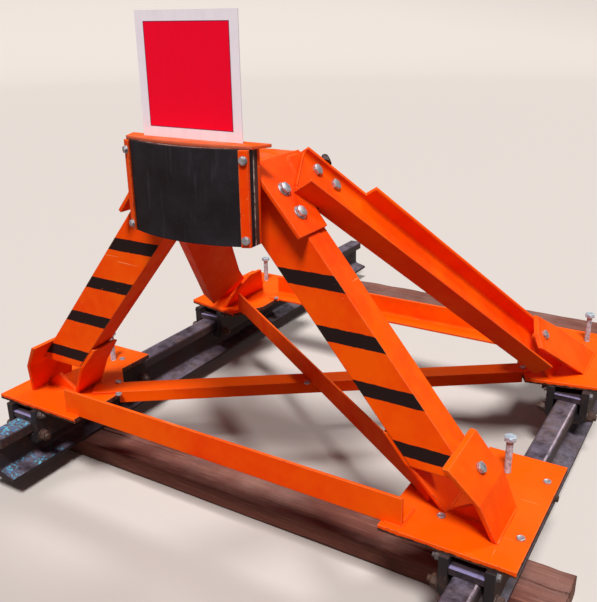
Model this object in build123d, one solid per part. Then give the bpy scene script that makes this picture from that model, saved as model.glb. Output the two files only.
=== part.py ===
from build123d import *
import math
import os

os.makedirs("parts", exist_ok=True)

# Railway buffer stop that grips the rails and slides back when it is struck.
# Millimetres, +Z up, X across the track, +Y along it away from the oncoming train.
# Z = 0 is the ground under the sleepers, and the rails run from -Y to +Y about the origin.

# Track panel that carries it
RAIL_LENGTH = 2500.0
RAIL_HEIGHT = 152.0
RAIL_HEAD_WIDTH = 70.0
RAIL_HEAD_SIDE = 38.0
RAIL_HEAD_RADIUS = 13.0
RAIL_WEB = 15.5
RAIL_FOOT_WIDTH = 132.0
RAIL_FOOT_EDGE = 10.5
RAIL_FOOT_RISE = 15.0
TRACK_GAUGE = 1435.0
SLEEPER_LENGTH = 1890.0
SLEEPER_WIDTH = 170.0
SLEEPER_HEIGHT = 65.0
SLEEPER_EDGE = 5.0
SLEEPER_FRONT_Y = -870.0
SLEEPER_REAR_Y = 962.0

RAIL_X = TRACK_GAUGE / 2 + RAIL_HEAD_WIDTH / 2
RAIL_TOP = SLEEPER_HEIGHT + RAIL_HEIGHT

# Base plates, each over a friction bar on the rail head
SLIDE_CLEARANCE = 0.3
FRICTION_BAR_WIDTH = 86.0
FRICTION_BAR_THICKNESS = 18.0
PLATE_GAP = 44.0
PLATE_THICKNESS = 16.0
PLATE_OUTER_X = 863.0
PLATE_INNER_X = 520.0
FRONT_PLATE_Y = (-1120.0, -635.0)
FRONT_PLATE_SHOULDER = (225.0, 345.0)
REAR_PLATE_Y = (-149.0, 366.0)
REAR_PLATE_INNER_X = 548.0
REAR_PLATE_NOSE_X = 611.0
REAR_PLATE_SHOULDER = 130.0
REAR_PLATE_SLANT = 52.0
PLATE_BOTTOM = RAIL_TOP + PLATE_GAP
PLATE_TOP = PLATE_BOTTOM + PLATE_THICKNESS

# Rail clamps: two hooked jaws under each base plate
JAW_INNER = 44.0
JAW_OUTER = 68.0
JAW_HOOK_REACH = 22.0
JAW_HOOK_THICKNESS = 24.0
JAW_HEAD_CLEARANCE = 3.0
JAW_OVERHANG = 14.0
FRICTION_BAR_OVERHANG = JAW_OVERHANG - 2.0
JAW_CHAMFER = 14.0
SCREW_OFFSET = 27.0
SCREW_TO_NECK = 80.5
PLATE_NECK_X = RAIL_X - SCREW_OFFSET - SCREW_TO_NECK
SCREW_DIAMETER = 20.0
SCREW_HEAD_FLATS = 30.0
SCREW_HEAD_HEIGHT = 13.0
SCREW_TOP = PLATE_TOP + 111.0
FRONT_SCREW_Y = -735.0
REAR_SCREW_Y = 278.0

# Front legs: two rolled channels toe to toe, leaning outward in one upright plane
LEG_LEAN = 39.5
FRONT_LEG_Y = -1035.0
FRONT_LEG_FOOT_X = 837.0
FRONT_CHANNEL = (126.0, 53.0)
BACK_CHANNEL = (120.0, 43.0)
CHANNEL_WEB = 5.5
CHANNEL_FLANGE = 9.0
FRONT_LEG_BOTTOM = PLATE_TOP + 132.0
FRONT_LEG_TOP = 1067.0
FRONT_LEG_DEPTH = FRONT_CHANNEL[1] + BACK_CHANNEL[1]

# Rear legs: one large channel each, open outward and upward
REAR_LEG_FOOT = (690.0, -45.0, 277.0)
REAR_LEG_HEAD = (178.0, FRONT_LEG_Y + 89.0, 1097.0)
REAR_LEG_ROLL = 44.1
REAR_CHANNEL = (160.0, 62.0)
REAR_COPE_LENGTH = 227.0
REAR_COPE_FLANGE = 25.0
REAR_CHANNEL_WEB = 8.5
REAR_CHANNEL_FLANGE = 10.0
REAR_GUSSET_REACH = 260.0
REAR_LEG_START = 163.0
REAR_LEG_END = 37.0
REAR_LEG_SKEW = 22.0

# Foot brackets
BRACKET_THICKNESS = 12.0
BRACKET_FOLD = PLATE_TOP + 112.0
BRACKET_TOP = PLATE_TOP + 206.0
OUTER_BRACKET_FOOT_X = 782.0
INNER_BRACKET_FOOT_X = 650.0
BRACKET_TOE_HEIGHT = 50.0

# Cross beams and braces
BEAM_ANGLE = 80.0
BEAM_THICKNESS = 8.0
BEAM_HALF_LENGTH = 575.0
FRONT_BEAM_Y = FRONT_PLATE_Y[0] + 20.0
REAR_BEAM_Y = 157.0
BRACE_LONG_LEG = 70.0
BRACE_SHORT_LEG = 40.0
BRACE_THICKNESS = 6.0
BRACE_FRONT = (592.0, -973.0)
BRACE_REAR = (617.0, -100.0)
BRACE_PACKER = 62.0

# Head
CURVE_CENTRE_Y = FRONT_LEG_Y + 294.0
PAD_RADIUS = 430.0
PAD_THICKNESS = 12.0
LINER_THICKNESS = 4.0
BACKING_THICKNESS = 12.0
FACE_THICKNESS = 9.0
HEAD_HALF_WIDTH = 185.0
HEAD_BOTTOM = 937.0
HEAD_TOP = HEAD_BOTTOM + 227.0
STRIP_WIDTH = 20.0
STRIP_THICKNESS = 7.0
TOP_PLATE_THICKNESS = 8.0
TOP_PLATE_OVERHANG = 4.0
TOP_PLATE_RADIUS = 790.0
TOP_PLATE_HALF_WIDTH = 210.0
TOP_PLATE_BACK_Y = FRONT_LEG_Y - 40.0
SIDE_PLATE_THICKNESS = 10.0
CAP_TOP = 1115.0
CAP_THICKNESS = 10.0
CAP_BACK_Y = FRONT_LEG_Y + 195.0
CHEEK_FRONT_Y = FRONT_LEG_Y - 53.0
CHEEK_BACK_Y = FRONT_LEG_Y + 173.0
TONGUE_BACK_Y = FRONT_LEG_Y + 85.0
TONGUE_BOTTOM = CAP_TOP - 160.0
REAR_TONGUE_LENGTH = 225.0
RIB_X = 110.0
RIB_THICKNESS = 10.0
BACK_PLATE_BOTTOM = CAP_TOP - 105.0

# Sign board
BOARD_WIDTH = 297.0
BOARD_HEIGHT = 289.0
BOARD_THICKNESS = 3.0
BOARD_Y = FRONT_LEG_Y - 67.0
BOARD_BRACKET_X = 95.0
BOARD_BRACKET_LEG = 40.0
BOARD_BRACKET_HEIGHT = 70.0
BOARD_BRACKET_THICKNESS = 4.0

BIG = 3000.0


def save(shape, name):
    export_step(shape, "parts/" + name + ".step")


def block(x0, x1, y0, y1, z0, z1):
    box = Box(x1 - x0, y1 - y0, z1 - z0)
    return Pos((x0 + x1) / 2, (y0 + y1) / 2, (z0 + z1) / 2) * box


def outline(points):
    return make_face(Polyline(*points, close=True))


def prism_along_x(points, x0, x1):
    plane = Plane(origin=(x0, 0, 0), x_dir=(0, 1, 0), z_dir=(1, 0, 0))
    return extrude(plane * outline(points), x1 - x0)


def prism_along_y(points, y0, y1):
    plane = Plane(origin=(0, y1, 0), x_dir=(1, 0, 0), z_dir=(0, -1, 0))
    return extrude(plane * outline(points), y1 - y0)


def prism_along_z(points, z0, z1):
    return extrude(Pos(0, 0, z0) * outline(points), z1 - z0)


def both_sides(shape):
    return shape, mirror(shape, about=Plane.YZ)


def save_pair(shape, name_right, name_left):
    right, left = both_sides(shape)
    save(right, name_right)
    save(left, name_left)


# Rails, with the rolled section's foot, web and crowned head
def rail_section():
    foot = RAIL_FOOT_WIDTH / 2
    web = RAIL_WEB / 2
    head = RAIL_HEAD_WIDTH / 2
    shoulder = RAIL_HEIGHT - RAIL_HEAD_SIDE
    half = [
        (foot, 0),
        (foot, RAIL_FOOT_EDGE),
        (web, RAIL_FOOT_EDGE + RAIL_FOOT_RISE),
        (web, shoulder - 9.0),
        (head, shoulder),
        (head, RAIL_HEIGHT),
    ]
    other = [(-x, z) for x, z in reversed(half)]
    face = outline(half + other)
    waist = []
    crown = []
    for vertex in face.vertices():
        if abs(abs(vertex.X) - web) < 0.1:
            waist.append(vertex)
        if abs(vertex.Y - RAIL_HEIGHT) < 0.1:
            crown.append(vertex)
    face = fillet(crown, RAIL_HEAD_RADIUS)
    again = [v for v in face.vertices() if abs(abs(v.X) - web) < 0.1]
    return fillet(again, 14.0)


section_plane = Plane(origin=(0, RAIL_LENGTH / 2, 0), x_dir=(1, 0, 0), z_dir=(0, -1, 0))
rail = extrude(section_plane * rail_section(), RAIL_LENGTH)
rail_right = Pos(RAIL_X, 0, SLEEPER_HEIGHT) * rail
save_pair(rail_right, "rail_right", "rail_left")

# Sleepers
for name, centre_y in (("sleeper_front", SLEEPER_FRONT_Y), ("sleeper_rear", SLEEPER_REAR_Y)):
    sleeper = Box(SLEEPER_LENGTH, SLEEPER_WIDTH, SLEEPER_HEIGHT)
    sleeper = chamfer(sleeper.edges().filter_by(Axis.X), SLEEPER_EDGE)
    save(Pos(0, centre_y, SLEEPER_HEIGHT / 2) * sleeper, name)


# Base plates, friction bars, jaws and clamp screws
front_plate_outline = [
    (PLATE_INNER_X, FRONT_PLATE_Y[0]),
    (PLATE_OUTER_X, FRONT_PLATE_Y[0]),
    (PLATE_OUTER_X, FRONT_PLATE_Y[1]),
    (PLATE_NECK_X, FRONT_PLATE_Y[1]),
    (PLATE_NECK_X, FRONT_PLATE_Y[0] + FRONT_PLATE_SHOULDER[1]),
    (PLATE_INNER_X, FRONT_PLATE_Y[0] + FRONT_PLATE_SHOULDER[0]),
]
rear_plate_outline = [
    (REAR_PLATE_NOSE_X, REAR_PLATE_Y[0]),
    (PLATE_OUTER_X, REAR_PLATE_Y[0] + REAR_PLATE_SLANT),
    (PLATE_OUTER_X, REAR_PLATE_Y[1]),
    (REAR_PLATE_INNER_X, REAR_PLATE_Y[1]),
    (REAR_PLATE_INNER_X, REAR_PLATE_Y[0] + REAR_PLATE_SHOULDER),
]


def base_plate(corners, screw_y):
    plate = prism_along_z(corners, PLATE_BOTTOM, PLATE_TOP)
    hole = Pos(RAIL_X - SCREW_OFFSET, screw_y, PLATE_TOP) * Cylinder(SCREW_DIAMETER / 2, 4 * PLATE_THICKNESS)
    return plate - hole


def friction_bar(span):
    return block(
        RAIL_X - FRICTION_BAR_WIDTH / 2,
        RAIL_X + FRICTION_BAR_WIDTH / 2,
        span[0] - FRICTION_BAR_OVERHANG,
        span[1] + FRICTION_BAR_OVERHANG,
        RAIL_TOP + SLIDE_CLEARANCE,
        RAIL_TOP + SLIDE_CLEARANCE + FRICTION_BAR_THICKNESS,
    )


def jaw_pair(span):
    hook_top = RAIL_TOP - RAIL_HEAD_SIDE - JAW_HEAD_CLEARANCE
    hook_inner = hook_top - 7.0
    hook_bottom = hook_inner - JAW_HOOK_THICKNESS
    profile = [
        (JAW_INNER, PLATE_BOTTOM),
        (JAW_INNER, hook_top),
        (JAW_HOOK_REACH, hook_inner),
        (JAW_HOOK_REACH, hook_bottom),
        (JAW_OUTER - JAW_CHAMFER, hook_bottom),
        (JAW_OUTER, hook_bottom + JAW_CHAMFER),
        (JAW_OUTER, PLATE_BOTTOM),
    ]
    y0 = span[0] - JAW_OVERHANG
    y1 = span[1] + JAW_OVERHANG
    outer = prism_along_y([(RAIL_X + x, z) for x, z in profile], y0, y1)
    inner = prism_along_y([(RAIL_X - x, z) for x, z in reversed(profile)], y0, y1)
    return Compound(children=[outer, inner])


def clamp_screw(screw_y):
    bar_top = RAIL_TOP + SLIDE_CLEARANCE + FRICTION_BAR_THICKNESS
    head_z = SCREW_TOP - SCREW_HEAD_HEIGHT
    shank = Pos(0, 0, (bar_top + head_z) / 2) * Cylinder(SCREW_DIAMETER / 2, head_z - bar_top)
    hexagon = RegularPolygon(SCREW_HEAD_FLATS / 2, 6, major_radius=False)
    head = extrude(Pos(0, 0, head_z) * hexagon, SCREW_HEAD_HEIGHT)
    return Pos(RAIL_X - SCREW_OFFSET, screw_y, 0) * (shank + head)


REAR_GRIP = (REAR_PLATE_Y[0] + REAR_PLATE_SLANT / 2, REAR_PLATE_Y[1])
for end, corners, span, screw_y in (
    ("front", front_plate_outline, FRONT_PLATE_Y, FRONT_SCREW_Y),
    ("rear", rear_plate_outline, REAR_GRIP, REAR_SCREW_Y),
):
    for make, name in (
        (base_plate(corners, screw_y), "base_plate"),
        (friction_bar(span), "friction_bar"),
        (jaw_pair(span), "rail_clamp"),
        (clamp_screw(screw_y), "clamp_screw"),
    ):
        save_pair(make, name + "_" + end + "_right", name + "_" + end + "_left")

# Front legs
lean = math.radians(LEG_LEAN)
OUTWARD = Vector(math.cos(lean), 0, math.sin(lean))
UPWARD = Vector(-math.sin(lean), 0, math.cos(lean))
leg_plane = Plane(origin=(FRONT_LEG_FOOT_X, FRONT_LEG_Y, PLATE_TOP), x_dir=OUTWARD, z_dir=UPWARD)


def side_x(z, offset=0.0):
    # X of the front leg's outer face at height z, moved outward square to that face
    return FRONT_LEG_FOOT_X - (z - PLATE_TOP) * math.tan(lean) + offset / math.cos(lean)


def channel_section(width, depth, web, flange, toe_radius):
    face = Pos(-width / 2, depth / 2) * Rectangle(width, depth)
    hollow = Pos(-width / 2, web + depth / 2) * Rectangle(width - 2 * flange, depth)
    face = face - hollow
    inside = []
    for vertex in face.vertices():
        if abs(vertex.Y - web) < 0.1:
            inside.append(vertex)
    face = fillet(inside, flange)
    toes = []
    for vertex in face.vertices():
        inner_side = -width + flange - 0.1 < vertex.X < -flange + 0.1
        if abs(vertex.Y - depth) < 0.1 and inner_side:
            toes.append(vertex)
    return fillet(toes, toe_radius)


front_section = channel_section(FRONT_CHANNEL[0], FRONT_CHANNEL[1], CHANNEL_WEB, CHANNEL_FLANGE, 4.0)
back_section = channel_section(BACK_CHANNEL[0], BACK_CHANNEL[1], CHANNEL_WEB, CHANNEL_FLANGE, 4.0)
back_corners = [v for v in back_section.vertices() if abs(v.Y) < 0.1]
back_section = fillet(back_corners, CHANNEL_FLANGE)
back_section = mirror(back_section, about=Plane.XZ)
inset = (FRONT_CHANNEL[0] - BACK_CHANNEL[0]) / 2
back_section = Pos(-inset, FRONT_LEG_DEPTH) * back_section
leg_room = block(-BIG, BIG, -BIG, BIG, FRONT_LEG_BOTTOM, FRONT_LEG_TOP)
front_channel = extrude(leg_plane * front_section, BIG / 2) & leg_room
back_channel = extrude(leg_plane * back_section, BIG / 2) & leg_room
save_pair(front_channel, "front_leg_right", "front_leg_left")
save_pair(back_channel, "front_leg_stiffener_right", "front_leg_stiffener_left")

# Rear legs
rear_foot = Vector(*REAR_LEG_FOOT)
rear_head = Vector(*REAR_LEG_HEAD)
rear_axis = (rear_head - rear_foot).normalized()
rear_length = (rear_head - rear_foot).length
rear_side = rear_axis.cross(Vector(0, 0, 1)).normalized()
if rear_side.X < 0:
    rear_side = rear_side * -1
rear_up = rear_side.cross(rear_axis).normalized()
if rear_up.Z < 0:
    rear_up = rear_up * -1
roll = math.radians(REAR_LEG_ROLL)
rear_normal = rear_side * math.cos(roll) + rear_up * math.sin(roll)
rear_plane = Plane(origin=REAR_LEG_FOOT, x_dir=rear_normal, z_dir=rear_axis)


def rear_slab(offset, thickness, along0, along1, half_width):
    # Flat piece in the rear leg's own frame, square to its outward normal
    sketch = Pos(offset + thickness / 2, 0) * Rectangle(thickness, 2 * half_width)
    shifted = Plane(origin=rear_plane.origin + rear_axis * along0, x_dir=rear_normal, z_dir=rear_axis)
    return extrude(shifted * sketch, along1 - along0)


rear_section = channel_section(
    REAR_CHANNEL[0], REAR_CHANNEL[1], REAR_CHANNEL_WEB, REAR_CHANNEL_FLANGE, 5.0
)
rear_section = Rot(0, 0, -90) * Pos(REAR_CHANNEL[0] / 2, 0) * rear_section
start = Plane(
    origin=rear_plane.origin + rear_axis * REAR_LEG_START, x_dir=rear_normal, z_dir=rear_axis
)
rear_leg = extrude(start * rear_section, rear_length - REAR_LEG_START)
web_plane = Plane(origin=REAR_LEG_FOOT, x_dir=rear_axis, z_dir=rear_normal)
sawn = rear_length - REAR_LEG_END
end_room = [
    (0, -REAR_CHANNEL[0]),
    (sawn - REAR_LEG_SKEW / 2, -REAR_CHANNEL[0]),
    (sawn + REAR_LEG_SKEW * 3 / 2, REAR_CHANNEL[0]),
    (0, REAR_CHANNEL[0]),
]
rear_leg = rear_leg & extrude(web_plane * outline(end_room), BIG, both=True)
cope_from = rear_length - REAR_LEG_END - REAR_COPE_LENGTH
cope_plane = Plane(
    origin=rear_plane.origin + rear_axis * cope_from, x_dir=rear_normal, z_dir=rear_axis
)
cope = Pos(REAR_COPE_FLANGE + REAR_CHANNEL[1] / 2, REAR_CHANNEL[0] / 2)
cope = cope * Rectangle(REAR_CHANNEL[1], REAR_CHANNEL[0] / 2)
rear_leg = rear_leg - extrude(cope_plane * cope, 2 * REAR_COPE_LENGTH)
behind_front_leg = block(-BIG, BIG, FRONT_LEG_Y + FRONT_LEG_DEPTH + 3.0, BIG, PLATE_TOP, BIG)
beside_tongue = prism_along_y(
    [
        (side_x(PLATE_TOP, SIDE_PLATE_THICKNESS), PLATE_TOP),
        (BIG, PLATE_TOP),
        (BIG, BIG),
        (side_x(BIG, SIDE_PLATE_THICKNESS), BIG),
    ],
    FRONT_LEG_Y,
    BIG,
)
rear_leg = rear_leg & (behind_front_leg + beside_tongue)
save_pair(rear_leg, "rear_leg_right", "rear_leg_left")

# Front foot brackets: two folded gussets and a toe web on the base plate
bracket_front = FRONT_LEG_Y - 75.0
bracket_back = FRONT_LEG_Y + 200.0


def folded_sheet(top_offset, foot_x, thickness, y0, y1):
    # Runs down the leg's face, then turns steeper to its foot on the base plate
    def x_at(z):
        return side_x(z, top_offset)

    profile = [
        (x_at(BRACKET_TOP), BRACKET_TOP),
        (x_at(BRACKET_FOLD), BRACKET_FOLD),
        (foot_x, PLATE_TOP),
        (foot_x + thickness, PLATE_TOP),
        (x_at(BRACKET_FOLD) + thickness, BRACKET_FOLD),
        (side_x(BRACKET_TOP, top_offset + thickness), BRACKET_TOP),
    ]
    return prism_along_y(profile, y0, y1)


outer_gusset = folded_sheet(0.0, OUTER_BRACKET_FOOT_X, BRACKET_THICKNESS, bracket_front, bracket_back)
outer_cut = prism_along_x(
    [
        (bracket_front, BRACKET_TOP - 4.0),
        (FRONT_LEG_Y + 126.0, BRACKET_TOP),
        (FRONT_LEG_Y + 128.0, BRACKET_TOP - 46.0),
        (FRONT_LEG_Y + 153.0, PLATE_TOP),
        (FRONT_LEG_Y - 13.0, PLATE_TOP),
    ],
    0,
    BIG,
)
outer_gusset = outer_gusset & outer_cut
inner_gusset = folded_sheet(
    -FRONT_CHANNEL[0] - BRACKET_THICKNESS, INNER_BRACKET_FOOT_X - BRACKET_THICKNESS,
    BRACKET_THICKNESS, bracket_front, bracket_back,
)
inner_cut = prism_along_x(
    [
        (FRONT_LEG_Y + 2.0, BRACKET_TOP),
        (FRONT_LEG_Y + 2.0, PLATE_TOP + 132.0),
        (FRONT_LEG_Y + 42.0, PLATE_TOP),
        (FRONT_LEG_Y + 150.0, PLATE_TOP),
        (FRONT_LEG_Y + 100.0, BRACKET_TOP),
    ],
    0,
    BIG,
)
inner_gusset = inner_gusset & inner_cut
toe_y = FRONT_LEG_Y + 50.0
toe_web = prism_along_y(
    [
        (INNER_BRACKET_FOOT_X - 6.0, PLATE_TOP),
        (OUTER_BRACKET_FOOT_X + 6.0, PLATE_TOP),
        (OUTER_BRACKET_FOOT_X - 55.0, PLATE_TOP + BRACKET_TOE_HEIGHT),
    ],
    toe_y,
    toe_y + BRACKET_THICKNESS,
)
front_bracket = outer_gusset + inner_gusset + toe_web
save_pair(front_bracket, "foot_bracket_front_right", "foot_bracket_front_left")

# Rear foot brackets: one gusset over the channel's toes and one behind its web
rear_low = block(-BIG, BIG, -BIG, BIG, PLATE_TOP, BIG)
rear_foot_y = REAR_LEG_FOOT[1]
gusset_room = prism_along_x(
    [
        (rear_foot_y - 99.0, PLATE_TOP + 230.0),
        (rear_foot_y - 167.0, PLATE_TOP + 196.0),
        (rear_foot_y - 196.0, PLATE_TOP + 161.0),
        (rear_foot_y + 24.0, PLATE_TOP),
        (rear_foot_y + 225.0, PLATE_TOP),
        (rear_foot_y + 13.0, PLATE_TOP + 159.0),
    ],
    0,
    BIG,
)
rear_outer = rear_slab(REAR_CHANNEL[1], BRACKET_THICKNESS, -400.0, 420.0, REAR_GUSSET_REACH)
rear_outer = rear_outer & gusset_room
rear_inner = rear_slab(-BRACKET_THICKNESS, BRACKET_THICKNESS, -400.0, 420.0, REAR_GUSSET_REACH)
inner_room = prism_along_x(
    [
        (rear_foot_y - 65.0, PLATE_TOP),
        (rear_foot_y - 65.0, PLATE_TOP + 60.0),
        (rear_foot_y - 15.0, PLATE_TOP + 150.0),
        (rear_foot_y + 65.0, PLATE_TOP + 150.0),
        (rear_foot_y + 215.0, PLATE_TOP),
    ],
    0,
    BIG,
)
rear_inner = rear_inner & inner_room
rear_tie = prism_along_y(
    [
        (REAR_LEG_FOOT[0] - 8.0, PLATE_TOP),
        (REAR_LEG_FOOT[0] + 75.0, PLATE_TOP),
        (REAR_LEG_FOOT[0] + 45.0, PLATE_TOP + 40.0),
        (REAR_LEG_FOOT[0] - 30.0, PLATE_TOP + 40.0),
    ],
    rear_foot_y + 195.0,
    rear_foot_y + 195.0 + BRACKET_THICKNESS,
)
rear_bracket = rear_outer + rear_inner + rear_tie
save_pair(rear_bracket, "foot_bracket_rear_right", "foot_bracket_rear_left")


# Cross beams: equal angles on the base plates
def angle_bar(length, flat, upright, thickness, radius):
    # Heel along X at the origin, one leg flat towards +Y and the other upright
    corner = [
        (0, 0),
        (flat, 0),
        (flat, thickness),
        (thickness, thickness),
        (thickness, upright),
        (0, upright),
    ]
    face = outline(corner)
    root = [v for v in face.vertices() if abs(v.X - thickness) < 0.1 and abs(v.Y - thickness) < 0.1]
    face = fillet(root, radius)
    return extrude(Plane(origin=(-length / 2, 0, 0), x_dir=(0, 1, 0), z_dir=(1, 0, 0)) * face, length)


beam = angle_bar(2 * BEAM_HALF_LENGTH, BEAM_ANGLE, BEAM_ANGLE, BEAM_THICKNESS, 9.0)
save(Pos(0, FRONT_BEAM_Y, PLATE_TOP) * beam, "cross_beam_front")
save(Pos(0, REAR_BEAM_Y, PLATE_TOP) * Rot(0, 0, 180) * beam, "cross_beam_rear")

# Diagonal braces: the lower one lies flat on the plates, the upper one stands on it
brace_run = Vector(BRACE_REAR[0] + BRACE_FRONT[0], BRACE_REAR[1] - BRACE_FRONT[1], 0)
brace_length = brace_run.length
brace_turn = math.degrees(math.atan2(brace_run.Y, brace_run.X))
brace_middle_x = (BRACE_REAR[0] - BRACE_FRONT[0]) / 2
brace_middle_y = (BRACE_REAR[1] + BRACE_FRONT[1]) / 2
lower_top = PLATE_TOP + BRACE_THICKNESS
lower = angle_bar(brace_length, BRACE_LONG_LEG, BRACE_SHORT_LEG, BRACE_THICKNESS, 6.0)
lower = mirror(lower, about=Plane.XY)
lower = Pos(brace_middle_x, brace_middle_y, lower_top) * Rot(0, 0, brace_turn) * lower
plate_room = (
    prism_along_z(front_plate_outline, PLATE_BOTTOM - 60.0, PLATE_TOP)
    + prism_along_z(rear_plate_outline, PLATE_BOTTOM - 60.0, PLATE_TOP)
)
lower = lower - plate_room - mirror(plate_room, about=Plane.YZ)
save(lower, "brace_lower")
upper = angle_bar(brace_length, BRACE_SHORT_LEG, BRACE_LONG_LEG, BRACE_THICKNESS, 6.0)
for along in (-1, 1):
    packer = Box(BRACE_PACKER, BRACE_SHORT_LEG, BRACE_THICKNESS)
    seat = along * (brace_length - BRACE_PACKER) / 2
    upper = upper + Pos(seat, BRACE_SHORT_LEG / 2, -BRACE_THICKNESS / 2) * packer
upper = Pos(-brace_middle_x, brace_middle_y, lower_top) * Rot(0, 0, -brace_turn) * upper
save(upper - front_bracket, "brace_upper")

# Head: curved layers of rubber and steel on a welded box between the legs
def curved_layer(outer, thickness, half_width, z0, z1):
    ring = Cylinder(outer, z1 - z0) - Cylinder(outer - thickness, z1 - z0)
    ring = Pos(0, CURVE_CENTRE_Y, (z0 + z1) / 2) * ring
    window = block(-half_width, half_width, CURVE_CENTRE_Y - BIG, CURVE_CENTRE_Y, z0, z1)
    return ring & window


liner_radius = PAD_RADIUS - PAD_THICKNESS
backing_radius = liner_radius - LINER_THICKNESS
face_radius = backing_radius - BACKING_THICKNESS
face_back = face_radius - FACE_THICKNESS
save(curved_layer(PAD_RADIUS, PAD_THICKNESS, HEAD_HALF_WIDTH, HEAD_BOTTOM, HEAD_TOP), "rubber_pad")
save(curved_layer(liner_radius, LINER_THICKNESS, HEAD_HALF_WIDTH, HEAD_BOTTOM, HEAD_TOP), "steel_liner")
save(
    curved_layer(backing_radius, BACKING_THICKNESS, HEAD_HALF_WIDTH, HEAD_BOTTOM, HEAD_TOP),
    "rubber_backing",
)
save(curved_layer(face_radius, FACE_THICKNESS, HEAD_HALF_WIDTH, HEAD_BOTTOM, HEAD_TOP), "face_plate")

strips = curved_layer(
    PAD_RADIUS + STRIP_THICKNESS, STRIP_THICKNESS, HEAD_HALF_WIDTH, HEAD_BOTTOM, HEAD_TOP
)
middle = HEAD_HALF_WIDTH - STRIP_WIDTH
strips = strips - block(-middle, middle, -BIG, BIG, HEAD_BOTTOM - 1, HEAD_TOP + 1)
save(Compound(children=list(strips.solids())), "clamping_strips")

top_front_y = CURVE_CENTRE_Y - face_radius - TOP_PLATE_OVERHANG
top_end_y = TOP_PLATE_BACK_Y - 45.0
top_plate = prism_along_z(
    [
        (-HEAD_HALF_WIDTH - 4.0, top_front_y),
        (HEAD_HALF_WIDTH + 4.0, top_front_y),
        (HEAD_HALF_WIDTH + 4.0, top_end_y),
        (TOP_PLATE_HALF_WIDTH, TOP_PLATE_BACK_Y),
        (-TOP_PLATE_HALF_WIDTH, TOP_PLATE_BACK_Y),
        (-HEAD_HALF_WIDTH - 4.0, top_end_y),
    ],
    HEAD_TOP,
    HEAD_TOP + TOP_PLATE_THICKNESS,
)
bowed = Cylinder(TOP_PLATE_RADIUS, 4 * HEAD_TOP)
top_plate = top_plate & Pos(0, top_front_y + TOP_PLATE_RADIUS, 0) * bowed
save(top_plate, "head_top_plate")


# Half-space inside the front legs' outer faces
def between_sides(y0, y1, z0, z1):
    profile = [
        (-side_x(z0), z0),
        (side_x(z0), z0),
        (side_x(z1), z1),
        (-side_x(z1), z1),
    ]
    return prism_along_y(profile, y0, y1)


# Side plates: a flat cheek on each front leg with its tongue, and a tongue behind each rear leg
cheek_plane = Plane(origin=(FRONT_LEG_FOOT_X, FRONT_LEG_Y, PLATE_TOP), x_dir=(0, 1, 0), z_dir=OUTWARD)


def cheek_point(y, z):
    # Distance up the leg from the base plate, in the cheek's own plane
    return (y - FRONT_LEG_Y, (z - PLATE_TOP) / math.cos(lean))


cheek_outline = [
    cheek_point(CHEEK_FRONT_Y, CAP_TOP + 2.0),
    cheek_point(CHEEK_BACK_Y, CAP_TOP + 2.0),
    cheek_point(CHEEK_BACK_Y, CAP_TOP - 36.0),
    cheek_point(TONGUE_BACK_Y + 20.0, CAP_TOP - 52.0),
    cheek_point(TONGUE_BACK_Y + 4.0, CAP_TOP - 93.0),
    cheek_point(TONGUE_BACK_Y, TONGUE_BOTTOM),
    cheek_point(CHEEK_FRONT_Y + 11.0, TONGUE_BOTTOM),
    cheek_point(CHEEK_FRONT_Y + 7.0, CAP_TOP - 36.0),
    cheek_point(CHEEK_FRONT_Y, CAP_TOP - 20.0),
]
cheek = extrude(cheek_plane * outline(cheek_outline), SIDE_PLATE_THICKNESS)
tongue = rear_slab(
    -SIDE_PLATE_THICKNESS, SIDE_PLATE_THICKNESS, rear_length - REAR_TONGUE_LENGTH, rear_length + 5.0, 62.0
)
tongue = tongue & block(-BIG, BIG, FRONT_LEG_Y + FRONT_LEG_DEPTH + 3.0, BIG, 0, CAP_TOP + 2.0)
cheek = cheek + tongue
cheek = cheek - rear_leg
save_pair(cheek, "head_cheek_right", "head_cheek_left")

# Welded box behind the face plate
face_hollow = Pos(0, CURVE_CENTRE_Y, 0) * Cylinder(face_back, 2 * BIG)
cap = between_sides(CURVE_CENTRE_Y - PAD_RADIUS, CAP_BACK_Y, CAP_TOP - CAP_THICKNESS, CAP_TOP)
back_wall = between_sides(CAP_BACK_Y - CAP_THICKNESS, CAP_BACK_Y, BACK_PLATE_BOTTOM, CAP_TOP)
rib_outline = [
    (CURVE_CENTRE_Y - PAD_RADIUS, HEAD_BOTTOM + 10.0),
    (FRONT_LEG_Y, HEAD_BOTTOM + 10.0),
    (FRONT_LEG_Y, CAP_TOP - CAP_THICKNESS / 2),
    (TOP_PLATE_BACK_Y, HEAD_TOP),
    (CURVE_CENTRE_Y - PAD_RADIUS, HEAD_TOP),
]
head_box = cap + back_wall
for side in (-1, 1):
    rib = prism_along_x(
        rib_outline, side * RIB_X - RIB_THICKNESS / 2, side * RIB_X + RIB_THICKNESS / 2
    )
    head_box = head_box + rib
head_box = head_box & face_hollow
head_box = head_box - cheek - mirror(cheek, about=Plane.YZ)
head_box = head_box - rear_leg - mirror(rear_leg, about=Plane.YZ)
save(head_box, "head_box")

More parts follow.
